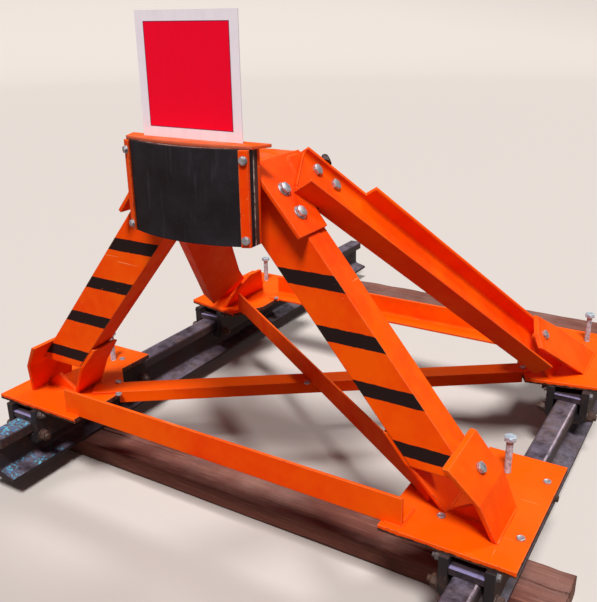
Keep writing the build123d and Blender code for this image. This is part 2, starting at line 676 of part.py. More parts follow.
# Sign board on two small angles
board_bottom = HEAD_TOP + TOP_PLATE_THICKNESS
save(
    block(
        -BOARD_WIDTH / 2, BOARD_WIDTH / 2, BOARD_Y, BOARD_Y + BOARD_THICKNESS,
        board_bottom, board_bottom + BOARD_HEIGHT,
    ),
    "sign_board",
)
brackets = []
for side in (-1, 1):
    x0 = side * BOARD_BRACKET_X - BOARD_BRACKET_LEG / 2
    y0 = BOARD_Y + BOARD_THICKNESS
    foot = block(
        x0, x0 + BOARD_BRACKET_LEG, y0, TOP_PLATE_BACK_Y,
        board_bottom, board_bottom + BOARD_BRACKET_THICKNESS,
    )
    upright = block(
        x0, x0 + BOARD_BRACKET_LEG, y0, y0 + BOARD_BRACKET_THICKNESS,
        board_bottom, board_bottom + BOARD_BRACKET_HEIGHT,
    )
    brackets.append((foot + upright).solid())
save(Compound(children=brackets), "sign_bracket")
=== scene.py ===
import math

import bpy
import numpy as np
from mathutils import Matrix, Vector


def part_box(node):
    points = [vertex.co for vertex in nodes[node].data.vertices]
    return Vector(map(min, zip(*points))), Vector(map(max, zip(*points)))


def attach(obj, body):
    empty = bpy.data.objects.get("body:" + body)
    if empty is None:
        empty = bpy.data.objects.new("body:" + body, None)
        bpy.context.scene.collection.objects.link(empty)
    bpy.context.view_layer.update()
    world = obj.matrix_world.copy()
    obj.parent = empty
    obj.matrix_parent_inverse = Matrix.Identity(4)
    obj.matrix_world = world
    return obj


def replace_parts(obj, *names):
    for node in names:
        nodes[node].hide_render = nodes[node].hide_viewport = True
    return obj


bl_info = {
    "name": "Railway buffer stop dressing",
    "version": (1, 0, 0),
    "blender": (4, 5, 0),
    "location": "View3D > Sidebar > Buffer stop",
    "description": "Paint, bolts, welds, timber and stage for the sliding buffer stop",
    "category": "Object",
}

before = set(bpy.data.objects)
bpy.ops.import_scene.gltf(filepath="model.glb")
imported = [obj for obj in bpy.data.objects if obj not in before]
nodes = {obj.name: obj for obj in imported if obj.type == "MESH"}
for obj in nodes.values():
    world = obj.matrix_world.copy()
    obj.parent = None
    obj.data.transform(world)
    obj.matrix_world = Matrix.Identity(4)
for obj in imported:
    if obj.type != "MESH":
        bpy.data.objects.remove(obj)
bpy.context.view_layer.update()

# Places on the CAD part, in metres

UP = Vector((0.0, 0.0, 1.0))
PLATE_TOP = 0.277
PLATE_BOTTOM = 0.261
RAIL_X = 0.7525
RAIL_HEAD_EDGE = RAIL_X + 0.027
RAIL_HEAD_SIDE = (0.196, 0.204)
FLECKED_END = (-0.98, -1.10)
BAND_HEIGHTS = (0.8455, 0.7125, 0.5875, 0.4515)
LEG_LEAN = math.radians(39.5)
LEG_FOOT = Vector((0.837, -1.035, PLATE_TOP))
LEG_OUTWARD = Vector((math.cos(LEG_LEAN), 0.0, math.sin(LEG_LEAN)))
REAR_FOOT = Vector((0.690, -0.045, PLATE_TOP))
REAR_ALONG = Vector((-0.3873, -0.6817, 0.6205)).normalized()
REAR_OUTWARD = Vector((0.838, 0.021, 0.546))
REAR_OUTWARD = (REAR_OUTWARD - REAR_OUTWARD.dot(REAR_ALONG) * REAR_ALONG).normalized()
REAR_UP = REAR_ALONG.cross(REAR_OUTWARD)
REAR_WEB = 0.737
HEAD_CENTRE_Y = -0.741
STRIP_FACE = 0.437
STRIP_BOLT_X = 0.175
STRIP_BOLT_HEIGHTS = (1.141, 0.954)
TIE_BOLT_HEIGHT = 0.246
TIE_BOLT_INSET = 0.018
LOWER_BOLT_HEIGHT = 0.173
# Front leg bolts: whether on a washer, y, z, distance off the leg's face, turn
FRONT_LEG_BOLTS = (
    (False, -0.9915, 0.425, 0.012, 0.2),
    (True, -1.024, 1.050, 0.010, 0.5),
    (True, -1.022, 0.998, 0.010, 0.1),
)
# Rear leg bolts: along the leg, up and outward from its foot, turn; the nuts stand on the web's other side
REAR_LEG_BOLTS = ((1.235, 0.044, 0.0085, 0.3), (1.164, 0.043, 0.0085, 0.9), (0.206, 0.020, 0.074, 0.4))
REAR_NUT_FACE = -0.010
FLANGE_NUT = (1.212, 0.080, 0.014)
# Plate bolts: x, y and height above the plate, which is a brace's flange where it isn't nought
FLANGE = 0.006
PLATE_BOLTS = (
    (0.832, -0.733, 0.0), (0.837, -0.999, 0.0), (0.643, -1.011, 0.0), (-0.699, -0.717, 0.0), (-0.832, -0.690, 0.0),
    (0.830, 0.300, 0.0), (0.830, 0.020, 0.0), (-0.830, 0.300, 0.0), (-0.830, 0.020, 0.0),
    (-0.541, 0.078, FLANGE), (0.541, 0.078, FLANGE), (-0.570, -0.871, FLANGE), (-0.507, -0.937, FLANGE),
    (-0.010, -0.558, FLANGE), (0.585, -0.085, FLANGE),
)

# Sizes of what the scene adds, in metres

CREASE = math.radians(28)
HEXAGON = math.cos(math.pi / 6)
SCREW_HEAD = 0.013
SCREW_FLATS = 0.031
SCREW_SHANK = 0.0096
SCREW_THREAD = 0.0005
SCREW_PITCH = 0.0025
SLEEPER_EDGE = 0.009
SLEEPER_SECTION = (92, 22, 14, 5)
SLEEPER_RINGS = 372
SLEEPER_CAP = np.array([0.05, 0.3, 0.55, 0.78, 0.93])
SPLITS = 13
DENTS = 26
BRACKET_BEAD = 0.004
BEAM_BEAD = 0.0035
BEAM_FREE_HALF = 0.55
BEAM_BEAD_ENDS = (0.525, 0.573)
CHEEK_BEAD = ((0.1475, -1.082, 1.1175), (0.1475, -0.866, 1.1175), 0.0045)
TONGUE_BEAD = 0.003
FLOOR_FLAT = 16.0
FLOOR_RISE = 9.0
FLOOR_SIDES = 96
LIGHTS_AIM = Vector((0.2, -0.4, 0.4))
LIGHT_COLOUR = (1.0, 0.98, 0.95)
CAMERA_PLACE = (1.16541, -2.53379, 1.44641)
CAMERA_AZIMUTH = 0.547544
CAMERA_DOWN = 0.360778
CAMERA_ROLL = -0.013897
CAMERA_LENS = 45.41


def linear(red, green, blue):
    """Screen colour from 0 to 255 as the linear colour that the shaders take."""
    screen = np.array((red, green, blue)) / 255.0
    light = np.where(screen <= 0.04045, screen / 12.92, ((screen + 0.055) / 1.055) ** 2.4)
    return tuple(float(c) for c in light)


def colour_setting(name, description, default):
    return bpy.props.FloatVectorProperty(
        name=name, description=description, default=default, size=3, min=0.0, max=1.0, subtype="COLOR"
    )


def share_setting(name, description, default):
    return bpy.props.FloatProperty(
        name=name, description=description, default=default, min=0.0, max=1.0, subtype="FACTOR"
    )


def length_setting(name, description, default):
    return bpy.props.FloatProperty(
        name=name, description=description, default=default, min=0.0, subtype="DISTANCE", unit="LENGTH"
    )


def light_setting(name, description, default):
    return bpy.props.FloatProperty(name=name, description=description, default=default, min=0.0)


class PaintSettings(bpy.types.PropertyGroup):
    orange: colour_setting("Orange", "Full coat of the frame's paint", linear(253, 91, 0))
    # The redder tone of thin paint; orange_coat keeps it mostly off flat tops, which paints light on the tops and
    # shade on the other faces.
    thin_and_shade_orange: colour_setting("Thin orange and painted shade", "Redder paint where the coat is thin, kept mostly off flat tops as painted light", linear(243, 58, 0))
    black: colour_setting("Black", "Warning bands on the front legs", linear(38, 26, 26))
    bare: colour_setting("Bare edge", "Cut edges and chips without paint", linear(84, 66, 60))
    dust_colour: colour_setting("Dust", "Pale dust on what faces up", linear(240, 132, 70))
    # Pale colour laid along convex edges as a painted highlight, and on scratches.
    edge_highlight_and_scratch: colour_setting("Edge highlight and scratches", "Painted highlight along edges, and the colour of scratches", linear(255, 150, 92))
    chips: share_setting("Chips", "How much paint is lost along edges", 0.45)
    dust: share_setting("Dust amount", "How much dust lies on flat faces", 0.16)
    band_height: length_setting("Band height", "Height of one black band", 0.038)


class TrackSettings(bpy.types.PropertyGroup):
    rail: colour_setting("Rail", "Mill scale and old grease on the rails", linear(47, 39, 47))
    rust: colour_setting("Rust", "Rust on rails and clamps", linear(104, 66, 52))
    timber: colour_setting("Timber", "Weathered sleeper", linear(121, 69, 57))
    timber_pale: colour_setting("Pale timber", "Bleached fibres of the sleeper", linear(158, 109, 97))
    crack_depth: length_setting("Crack depth", "Depth of the deepest split in a sleeper", 0.012)


class HeadSettings(bpy.types.PropertyGroup):
    rubber: colour_setting("Rubber", "Front rubber of the head", linear(27, 22, 26))
    backing: colour_setting("Backing", "Rubber behind the steel liner", linear(78, 50, 46))
    sign_red: colour_setting("Sign red", "Field of the sign board", linear(255, 0, 46))
    sign_white: colour_setting("Sign white", "Border of the sign board", linear(250, 244, 255))
    sign_border: length_setting("Sign border", "Width of the white border", 0.024)


class FastenerSettings(bpy.types.PropertyGroup):
    small: length_setting("Small head", "Across the flats of the strip bolts", 0.016)
    medium: length_setting("Medium head", "Across the flats of the plate bolts", 0.020)
    large: length_setting("Large head", "Across the flats of the leg bolts", 0.027)
    zinc: colour_setting("Zinc", "Plating of the bolts", linear(206, 208, 216))


class StageSettings(bpy.types.PropertyGroup):
    floor: colour_setting("Floor", "Plain pale floor", linear(198, 191, 187))
    bounce: colour_setting("Bounce", "Floor as the part's surfaces see it", linear(132, 116, 108))
    key: light_setting("Key", "Strength of the key light in watts per square metre", 3.7)
    fill: light_setting("Fill", "Strength of the fill light in watts per square metre", 1.2)


class StopSettings(bpy.types.PropertyGroup):
    paint: bpy.props.PointerProperty(type=PaintSettings, name="Paint", description="Frame paint")
    track: bpy.props.PointerProperty(type=TrackSettings, name="Track", description="Rails and sleepers")
    head: bpy.props.PointerProperty(type=HeadSettings, name="Head", description="Head and sign board")
    fasteners: bpy.props.PointerProperty(type=FastenerSettings, name="Fasteners", description="Bolts and nuts")
    stage: bpy.props.PointerProperty(type=StageSettings, name="Stage", description="Floor and lights")


# Shader building


class Signal:
    """A node's output, from which noise, ramps, sums and products are made."""

    def __init__(self, socket):
        self.socket = socket
        self.tree = socket.id_data

    def maths(self, operation, other=0.0):
        return put(self.tree, "Math", {0: self, 1: other}, operation=operation)[0]

    def __add__(self, other):
        return self.maths("ADD", other)

    def __sub__(self, other):
        return self.maths("SUBTRACT", other)

    def __rsub__(self, other):
        return put(self.tree, "Math", {0: other, 1: self}, operation="SUBTRACT")[0]

    def __mul__(self, other):
        return self.maths("MULTIPLY", other)

    def __abs__(self):
        return self.maths("ABSOLUTE")

    def ramp(self, low, high, to_low=0.0, to_high=1.0):
        """From one value to another while the signal goes from low to high, and level outside."""
        inputs = {"Value": self, "From Min": low, "From Max": high, "To Min": to_low, "To Max": to_high}
        return put(self.tree, "MapRange", inputs, clamp=True)["Result"]

    def noise(self, scale, detail=3.0, roughness=0.55, distortion=0.0):
        """Noise at the place that the signal holds."""
        inputs = {"Vector": self, "Scale": scale, "Detail": detail, "Roughness": roughness, "Distortion": distortion}
        return put(self.tree, "TexNoise", inputs)["Fac"]

    def axes(self):
        return put(self.tree, "SeparateXYZ", {0: self})


def signals(node):
    """A node's outputs as signals, by number and by name."""
    found = {}
    for number, socket in enumerate(node.outputs):
        found[number] = found[socket.name] = Signal(socket)
    return found


def wire(node, inputs):
    """Set a node's inputs by number or name, each to a signal, a number or a colour."""
    for key, value in inputs.items():
        socket = node.inputs[key]
        if isinstance(value, Signal):
            node.id_data.links.new(value.socket, socket)
        else:
            socket.default_value = (*value[:3], 1.0) if socket.type == "RGBA" else value


def put(tree, kind, inputs=None, **settings):
    """A new shader node with its settings and inputs; returns its outputs as signals."""
    made = tree.nodes.new("ShaderNode" + kind)
    for key, value in settings.items():
        setattr(made, key, value)
    wire(made, inputs or {})
    return signals(made)


def largest(first, *others):
    for other in others:
        first = first.maths("MAXIMUM", other)
    return first


def mixed(share, first, second):
    """The first colour with a share of the second."""
    return put(share.tree, "Mix", {0: share, 6: first, 7: second}, data_type="RGBA")[2]


def layered(colour, *layers):
    """A colour with others laid over it in turn, each with its share."""
    for share, over in layers:
        colour = mixed(share, colour, over)
    return colour


def object_space(tree, stretch=(1.0, 1.0, 1.0), turn=(0.0, 0.0, 0.0), shift=(0.0, 0.0, 0.0)):
    place = put(tree, "TexCoord")["Object"]
    return put(tree, "Mapping", {"Vector": place, "Scale": stretch, "Rotation": turn, "Location": shift})[0]


def facing(tree):
    """X, Y and Z of the way that the surface faces."""
    return put(tree, "NewGeometry")["Normal"].axes()


def bump(height, distance, normal=None):
    inputs = {"Height": height, "Distance": distance, "Strength": 1.0}
    if normal is not None:
        inputs["Normal"] = normal
    return put(height.tree, "Bump", inputs)["Normal"]


def worn_and_highlit_edge(tree, given):
    """Edge mask: how far the rounded normal turns from the flat one, broken up by noise. The highlight line, a
    painted highlight along edges, is the same with less taken out."""
    rounded = put(tree, "Bevel", {"Radius": given["Radius"]}, samples=4)["Normal"]
    flat = put(tree, "NewGeometry")["Normal"]
    alike = put(tree, "VectorMath", {0: rounded, 1: flat}, operation="DOT_PRODUCT")["Value"]
    turned_off = alike.ramp(0.97, 0.75)
    noise = object_space(tree).noise(given["Scale"], 6.0, 0.65)
    patches = (noise - (0.78 - given["Wear"] * 0.4)).ramp(-0.02, 0.05)
    return {"Edge": turned_off * patches, "Line": turned_off * noise.ramp(0.25, 0.6), "Rounded": rounded}


def settled_dust(tree, given):
    """Dust mask: how far the surface faces up, times soft patches and fine grains."""
    place = object_space(tree)
    patches = place.noise(given["Scale"], 5.0, 0.6).ramp(0.42, 0.68)
    grains = place.noise(260.0, 4.0, 0.7).ramp(0.35, 0.7)
    return {"Dust": patches * (grains * 0.6 + 0.4) * facing(tree)["Z"].ramp(0.25, 0.95) * given["Amount"]}


def corner_shade_and_dirt(tree, given):
    """Painted shade and dirt mask: how closed in the surface is by its neighbours, broken up by streaks."""
    open_share = put(tree, "AmbientOcclusion", {"Distance": given["Reach"]}, samples=4)["AO"]
    streaks = object_space(tree).noise(35.0, 5.0, 0.65).ramp(0.3, 0.7)
    return {"Shade and dirt": open_share.ramp(0.75, 0.25) * streaks * given["Amount"]}


def brushed_coat(tree, given):
    """Brushed coat: broad thick and thin areas, the fine skin left by the brush as a height, small spots, and
    scratches, which are the crests of two noises drawn out into lines."""
    place = object_space(tree)
    scaled = put(tree, "VectorMath", {0: place, "Scale": given["Scale"]}, operation="SCALE")[0]
    lines = []
    for stretch, turn in (((1.0, 0.04, 1.0), (0.3, 0.0, 0.5)), ((0.04, 1.0, 1.0), (0.0, 0.6, 0.2))):
        lines.append(object_space(tree, stretch, turn).noise(130.0, 2.0, 0.5).ramp(0.735, 0.76))
    return {
        "Thin": (scaled.noise(3.2, 4.0, 0.6, 0.4) * 0.7 + scaled.noise(17.0, 4.0, 0.6) * 0.3).ramp(0.4, 0.66),
        "Height": scaled.noise(420.0, 2.0, 0.5) * 0.35 + scaled.noise(60.0, 3.0, 0.5),
        "Spots": scaled.noise(85.0, 8.0, 0.75).ramp(0.70, 0.76),
        "Scratches": largest(*lines) * place.noise(4.0).ramp(0.46, 0.56),
    }


def rusty_skin(tree, given):
    """Rust: where broad and fine noise pass a limit, brown and dark patches with pits as a height."""
    place = object_space(tree)
    broad = place.noise(given["Scale"], 8.0, 0.65, 0.2)
    fine = place.noise(140.0, 6.0, 0.7)
    rusted = (broad * 0.75 + fine * 0.25 - (0.72 - given["Amount"] * 0.4)).ramp(-0.08, 0.1)
    deep = mixed(fine.ramp(0.35, 0.7), (0.02, 0.012, 0.01), given["Rust"])
    return {"Colour": mixed(rusted, given["Base"], deep), "Rusted": rusted, "Height": fine * 0.7 + rusted * 0.5}


EFFECTS = {
    "Worn and highlit edge": (worn_and_highlit_edge, {"Radius": 0.003, "Wear": 0.4, "Scale": 40.0}),
    "Settled dust": (settled_dust, {"Amount": 0.3, "Scale": 6.0}),
    "Corner shade and dirt": (corner_shade_and_dirt, {"Amount": 0.5, "Reach": 0.03}),
    "Brushed coat": (brushed_coat, {"Scale": 1.0}),
    "Rusty skin": (
        rusty_skin,
        {"Base": (0.05, 0.04, 0.05, 1.0), "Rust": (0.14, 0.06, 0.03, 1.0), "Amount": 0.5, "Scale": 12.0},
    ),
}
SOCKETS = {"VALUE": "NodeSocketFloat", "VECTOR": "NodeSocketVector", "RGBA": "NodeSocketColor"}


def effect_group(name):
    """The shader group of an effect, made on first use: its inputs, what its function adds, and its outputs."""
    if name in bpy.data.node_groups:
        return bpy.data.node_groups[name]
    fill, inputs = EFFECTS[name]
    tree = bpy.data.node_groups.new(name, "ShaderNodeTree")
    for label, default in inputs.items():
        kind = SOCKETS["RGBA" if isinstance(default, tuple) else "VALUE"]
        tree.interface.new_socket(label, in_out="INPUT", socket_type=kind).default_value = default
    results = fill(tree, signals(tree.nodes.new("NodeGroupInput")))
    for label, result in results.items():
        tree.interface.new_socket(label, in_out="OUTPUT", socket_type=SOCKETS[result.socket.type])
    wire(tree.nodes.new("NodeGroupOutput"), results)
    return tree


def effect(tree, name, **inputs):
    """An effect placed in a material with its own values; returns the masks and normals that it puts out."""
    labelled = {key.capitalize(): value for key, value in inputs.items()}
    return put(tree, "Group", labelled, node_tree=effect_group(name))


def finish(name, fill, *values, **options):
    """The material of that name. On first use, a function adds its nodes and says what feeds its shader."""
    if name in bpy.data.materials:
        return bpy.data.materials[name]
    material = bpy.data.materials.new(name)
    material.use_nodes = True
    tree = material.node_tree
    tree.nodes.clear()
    shader = tree.nodes.new("ShaderNodeBsdfPrincipled")
    wire(tree.nodes.new("ShaderNodeOutputMaterial"), {"Surface": signals(shader)["BSDF"]})
    wire(shader, fill(tree, *values, **options))
    return material


def band_mask(tree, centres, half):
    """One where the height above the ground is within a band, with a slightly brushed edge."""
    place = object_space(tree)
    height = place.axes()["Z"] + (place.noise(40.0, 6.0, 0.7) - 0.5) * 0.006
    return largest(*(abs(height - centre).ramp(half + 0.0006, half - 0.0006) for centre in centres))


def bare_cut_edge(tree, colour, way, bare):
    """Sawn steel on the upright edges, held dark partly as painted shade, up to a ragged line of dripped paint on
    the front one.
    """
    place = object_space(tree)
    height = place.axes()["Z"] + (place.noise(30.0, 5.0, 0.65) - 0.5) * 0.012
    dripped = height.ramp(PLATE_BOTTOM + 0.008, PLATE_BOTTOM + 0.005)
    shown = largest(dripped, 0.92 - way["Y"].ramp(-0.5, -0.8))
    # Dark bare steel on the cut edges: the steel's own colour, deepened as painted shade.
    steel = mixed(place.noise(60.0, 5.0).ramp(0.35, 0.7), linear(44, 30, 28), bare)
    return mixed(abs(way["Z"]).ramp(0.35, 0.2) * shown, colour, steel)


def orange_coat(tree, paint, bands=(), cut_edges=False, dusty=False):
    """Brushed orange coat; its redder thin tone is held mostly off flat tops, which paints light on the tops and
    shade on the other faces. Over it come black bands or bare cut edges where asked, then painted shade with dirt in
    the corners, dust with painted sheen where asked, a painted highlight along edges with scratches, and bare steel
    where the edges and spots are worn."""
    coat = effect(tree, "Brushed coat", scale=1.0)
    edge = effect(tree, "Worn and highlit edge", radius=0.0045, wear=paint.chips, scale=38.0)
    amount, scale = (min(1.0, paint.dust * 6.0), 14.0) if dusty else (paint.dust, 5.0)
    dust = effect(tree, "Settled dust", amount=amount, scale=scale)["Dust"]
    shade_and_dirt = effect(tree, "Corner shade and dirt", amount=0.7, reach=0.035)["Shade and dirt"]
    way = facing(tree)
    # Thin-paint patches, cut to a quarter on faces that look up: painted light that keeps flat tops yellower and
    # other faces redder.
    thin = coat["Thin"] * way["Z"].ramp(0.8, 0.95, 1.0, 0.25)
    colour = mixed(thin, paint.orange, paint.thin_and_shade_orange)
    if bands:
        black = band_mask(tree, bands, paint.band_height / 2) * way["Y"].ramp(-0.6, -0.8)
        colour = mixed(black, colour, paint.black)
    if cut_edges:
        colour = bare_cut_edge(tree, colour, way, paint.bare)
    # Darker red-brown in closed-in corners: painted shade together with dirt.
    colour = mixed(shade_and_dirt * 0.7, colour, linear(70, 24, 12))
    # Pale dust on faces that look up; on the finish with sheen it is a strong pale pink cover that is partly painted
    # sheen, and faces turned to the front get a pale pink tint of painted sheen too.
    colour = mixed(dust, colour, linear(222, 142, 116) if dusty else paint.dust_colour)
    if dusty:
        colour = mixed(way["Y"].ramp(-0.3, -0.6, 0.0, 0.65), colour, linear(192, 112, 88))
    # Pale colour along convex edges is a painted highlight; scratches take the same colour.
    edge_highlight_and_scratch = largest(edge["Line"] * 0.8, coat["Scratches"] * 0.7)
    lost = largest(edge["Edge"], coat["Spots"] * 0.5)
    return {
        "Base Color": layered(colour, (edge_highlight_and_scratch, paint.edge_highlight_and_scratch), (lost, paint.bare)),
        "Roughness": coat["Thin"] * 0.16 + 0.46 + largest(dust, lost) * 0.35,
        "Specular IOR Level": 0.09,
        "Normal": bump(coat["Height"] - lost * 1.2, 0.00035, edge["Rounded"]),
    }


def rusted_steel(tree, base, rust, amount, scale=12.0, roughness=0.5, marks=None):
    """Dark rolled or oiled steel with rust, worn edges and dust, and what another function marks on it."""
    skin = effect(tree, "Rusty skin", base=base, rust=rust, amount=amount, scale=scale)
    edge = effect(tree, "Worn and highlit edge", radius=0.002, wear=0.5, scale=60.0)
    dust = effect(tree, "Settled dust", amount=0.35, scale=9.0)["Dust"]
    worn = (edge["Edge"] * 0.5, linear(150, 140, 140))
    colour = layered(skin["Colour"], worn, (dust, linear(150, 132, 130)))
    return {
        "Base Color": marks(tree, colour) if marks else colour,
        "Roughness": skin["Rusted"].ramp(0.0, 1.0, roughness, 0.85) + dust * 0.3,
        "Normal": bump(skin["Height"], 0.0006, edge["Rounded"]),
    }


def rail_marks(tree, colour):
    """Painted violet sheen on faces that look up, a broken pale line along the heads' outer edge, and blue-white
    paint flecks on the left rail near its front end."""
    place = object_space(tree)
    at = place.axes()
    up = facing(tree)["Z"].ramp(0.3, 0.8)
    # Mottled violet on faces that look up: painted sheen.
    sheen = place.noise(24.0, 7.0, 0.75).ramp(0.38, 0.68, 0.0, 0.75)
    off_edge = abs(abs(at["X"]) - RAIL_HEAD_EDGE)
    broken = object_space(tree, (1.0, 0.25, 1.0)).noise(60.0, 5.0, 0.7).ramp(0.36, 0.56)
    line = off_edge.ramp(0.0034, 0.0016) * at["Z"].ramp(*RAIL_HEAD_SIDE) * broken
    near = at["Y"].ramp(*FLECKED_END) * at["X"].ramp(0.1, -0.1)
    flecks = place.noise(13.0, 3.0, 0.5).ramp(0.42, 0.52) * place.noise(110.0, 6.0, 0.75).ramp(0.50, 0.55)
    blue = mixed(place.noise(46.0, 4.0).ramp(0.4, 0.6), linear(62, 120, 176), linear(98, 196, 226))
    layers = ((sheen * up, linear(122, 112, 132)), (line, linear(176, 158, 172)), (flecks * near * up, blue))
    return layered(colour, *layers)


def bar_ends(tree, colour):
    """The colour given on top of the friction bars' ends as a painted highlight, and dark brown elsewhere, which on
    the bars' sides is painted shade.
    """
    place = object_space(tree)
    along = place.axes()["Y"]
    ends = [corner.y for end in ("front", "rear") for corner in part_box("friction_bar_" + end + "_right")]
    tips = largest(*(abs(along - end).ramp(0.016, 0.008) for end in ends))
    brown = mixed(place.noise(50.0, 5.0).ramp(0.35, 0.7), linear(36, 28, 34), linear(70, 54, 62))
    # Pale top against dark sides: painted highlight and painted shade.
    return mixed(facing(tree)["Z"].ramp(0.5, 0.9) * tips, brown, colour)


def plated_steel(tree, base, roughness=0.34, metallic=0.75, dirt=0.3, dirt_from=0.62):
    """Zinc-plated fastener: cool metal with dull patches, brown stains and dark painted shade with dirt in the
    corners.
    """
    place = object_space(tree)
    patches = place.noise(90.0, 5.0, 0.65)
    stains = place.noise(55.0, 7.0, 0.7).ramp(dirt_from, dirt_from + 0.1, 0.0, dirt)
    edge = effect(tree, "Worn and highlit edge", radius=0.0008, wear=0.6, scale=120.0)
    # Darkening in closed-in corners: painted shade together with dirt.
    shade_and_dirt = effect(tree, "Corner shade and dirt", amount=0.8, reach=0.006)["Shade and dirt"]
    dull = (patches.ramp(0.4, 0.7), linear(128, 126, 134))
    return {
        "Base Color": layered(base, dull, (stains, linear(96, 62, 46)), (shade_and_dirt, linear(50, 40, 38))),
        "Roughness": patches.ramp(0.3, 0.7, roughness, roughness + 0.2),
        "Metallic": metallic,
        "Normal": bump(patches, 0.0001, edge["Rounded"]),
    }


def dull_rubber(tree, base, scuff):
    """Dull rubber with faint upright scuffs, grey bloom, pale specks and fine pores."""
    place = object_space(tree)
    streaks = object_space(tree, (1.0, 1.0, 0.12)).noise(70.0, 5.0, 0.6)
    bloom = place.noise(9.0, 5.0, 0.6)
    edge = effect(tree, "Worn and highlit edge", radius=0.002, wear=0.5, scale=60.0)
    layers = (
        (bloom.ramp(0.35, 0.75, 0.0, 0.6), scuff),
        (streaks.ramp(0.56, 0.72, 0.0, 0.6), scuff),
        (place.noise(150.0, 6.0, 0.75).ramp(0.66, 0.72, 0.0, 0.7), linear(92, 88, 96)),
        (edge["Edge"] * 0.6, linear(96, 88, 90)),
    )
    return {
        "Base Color": layered(base, *layers),
        "Roughness": bloom.ramp(0.3, 0.7, 0.62, 0.82),
        "Specular IOR Level": 0.2,
        "Normal": bump(place.noise(420.0, 3.0, 0.6) + streaks, 0.0004, edge["Rounded"]),
    }


def sleeper_timber(tree, track):
    """Weathered softwood: noise drawn out along the sleeper as fibres and growth, tar stains, and rings round the
    heart on the sawn ends; painted shade with dirt in the corners, and dust, lie over it."""
    fibres = object_space(tree, (0.05, 1.0, 1.0)).noise(190.0, 6.0, 0.6, 0.2)
    growth = object_space(tree, (0.03, 1.0, 1.0)).noise(34.0, 5.0, 0.6, 0.8)
    stains = object_space(tree, (0.5, 1.0, 1.0)).noise(5.0, 6.0, 0.65)
    heart = object_space(tree, shift=(0.0, 0.93, 0.03))
    inputs = {"Vector": heart, "Scale": 55.0, "Distortion": 2.5, "Detail": 3.0, "Detail Scale": 1.5}
    rings = put(tree, "TexWave", inputs, wave_type="RINGS", rings_direction="X")["Fac"]
    layers = (
        (growth.ramp(0.35, 0.65), track.timber),
        (fibres.ramp(0.52, 0.75, 0.0, 0.75), track.timber_pale),
        (stains.ramp(0.52, 0.68, 0.0, 0.8), linear(50, 32, 32)),
        (abs(facing(tree)["X"]).ramp(0.6, 0.85), mixed(rings, linear(82, 50, 42), linear(150, 104, 84))),
        # Near-black in closed-in corners: painted shade together with dirt.
        (effect(tree, "Corner shade and dirt", amount=0.9, reach=0.012)["Shade and dirt"], linear(22, 14, 14)),
        (effect(tree, "Settled dust", amount=0.45, scale=4.0)["Dust"], linear(168, 138, 128)),
    )
    return {
        "Base Color": layered(linear(96, 52, 44), *layers),
        "Roughness": fibres.ramp(0.3, 0.8, 0.72, 0.92),
        "Normal": bump(fibres + growth * 0.6, 0.0014),
    }


def sign_paint(tree, head):
    """Painted board: red field, dark outline and white border on its front, white on its back, faintly worn. The
    field is where both distances from the middle are under its half sizes."""
    low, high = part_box("sign_board")
    at = object_space(tree).axes()

    def within(inset):
        """One inside the field less an inset, over a soft edge."""
        mask = []
        for axis, start, end in (("X", low.x, high.x), ("Z", low.z, high.z)):
            half = (end - start) / 2 - head.sign_border - inset
            mask.append(abs(at[axis] - (start + end) / 2).ramp(half + 0.0004, half - 0.0004))
        return mask[0] * mask[1]

    worn = object_space(tree, (1.0, 1.0, 0.3)).noise(30.0, 6.0, 0.7)
    field = mixed(worn.ramp(0.4, 0.8, 0.0, 0.25), head.sign_red, linear(232, 4, 42))
    field = mixed(within(0.002), linear(128, 0, 66), field)
    rim = mixed(worn.ramp(0.45, 0.75, 0.0, 0.35), head.sign_white, linear(222, 213, 230))
    return {
        "Base Color": mixed(within(0.0) * facing(tree)["Y"].ramp(-0.4, -0.6), rim, field),
        "Roughness": worn.ramp(0.3, 0.8, 0.42, 0.6),
        "Specular IOR Level": 0.16,
        "Normal": bump(object_space(tree).noise(240.0), 0.0001),
    }


def pale_floor(tree, stage):
    """Softly mottled floor for the camera, and the darker bounce colour for all other rays."""
    mottle = object_space(tree).noise(2.5, 6.0, 0.6).ramp(0.35, 0.7, 0.0, 0.25)
    seen = put(tree, "LightPath")["Is Camera Ray"]
    shown = mixed(mottle, stage.floor, linear(196, 190, 186))
    return {"Base Color": mixed(seen, stage.bounce, shown), "Roughness": 0.9}


# Mesh building


def put_mesh(name, shell, material, body, crease=None):
    """A mesh object at the origin from a shell, which is points and faces, riding on a body."""
    points, faces = shell
    mesh = bpy.data.meshes.new(name)
    mesh.from_pydata(points.tolist(), [], faces)
    mesh.update()
    mesh.shade_smooth()
    if crease is not None:
        mesh.set_sharp_from_angle(angle=crease)
    made = bpy.data.objects.new(name, mesh)
    bpy.context.scene.collection.objects.link(made)
    mesh.materials.append(material)
    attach(made, body)
    return made


def put_fasteners(name, shells, material):
    return put_mesh(name, joined(shells), material, "buffer_frame", CREASE)


def dress(*finishes):
    """Give each CAD node the first finish whose names it starts with."""
    for name, node in nodes.items():
        for starts, material in finishes:
            if name.startswith(starts):
                node.data.materials.clear()
                node.data.materials.append(material)
                break


def closed_rings(rings):
    """Points and faces of a tube of rings, (rows, columns, 3): four-sided faces on a grid whose last column joins
    the first, and a flat face over each end."""
    rows, columns = rings.shape[:2]
    row, column = np.arange(rows - 1)[:, None] * columns, np.arange(columns)[None, :]
    first, second = row + column, row + (column + 1) % columns
    faces = np.stack([first, second, second + columns, first + columns], axis=-1).reshape(-1, 4).tolist()
    faces.append(list(range(columns))[::-1])
    faces.append(list(range((rows - 1) * columns, rows * columns)))
    return rings.reshape(-1, 3), faces


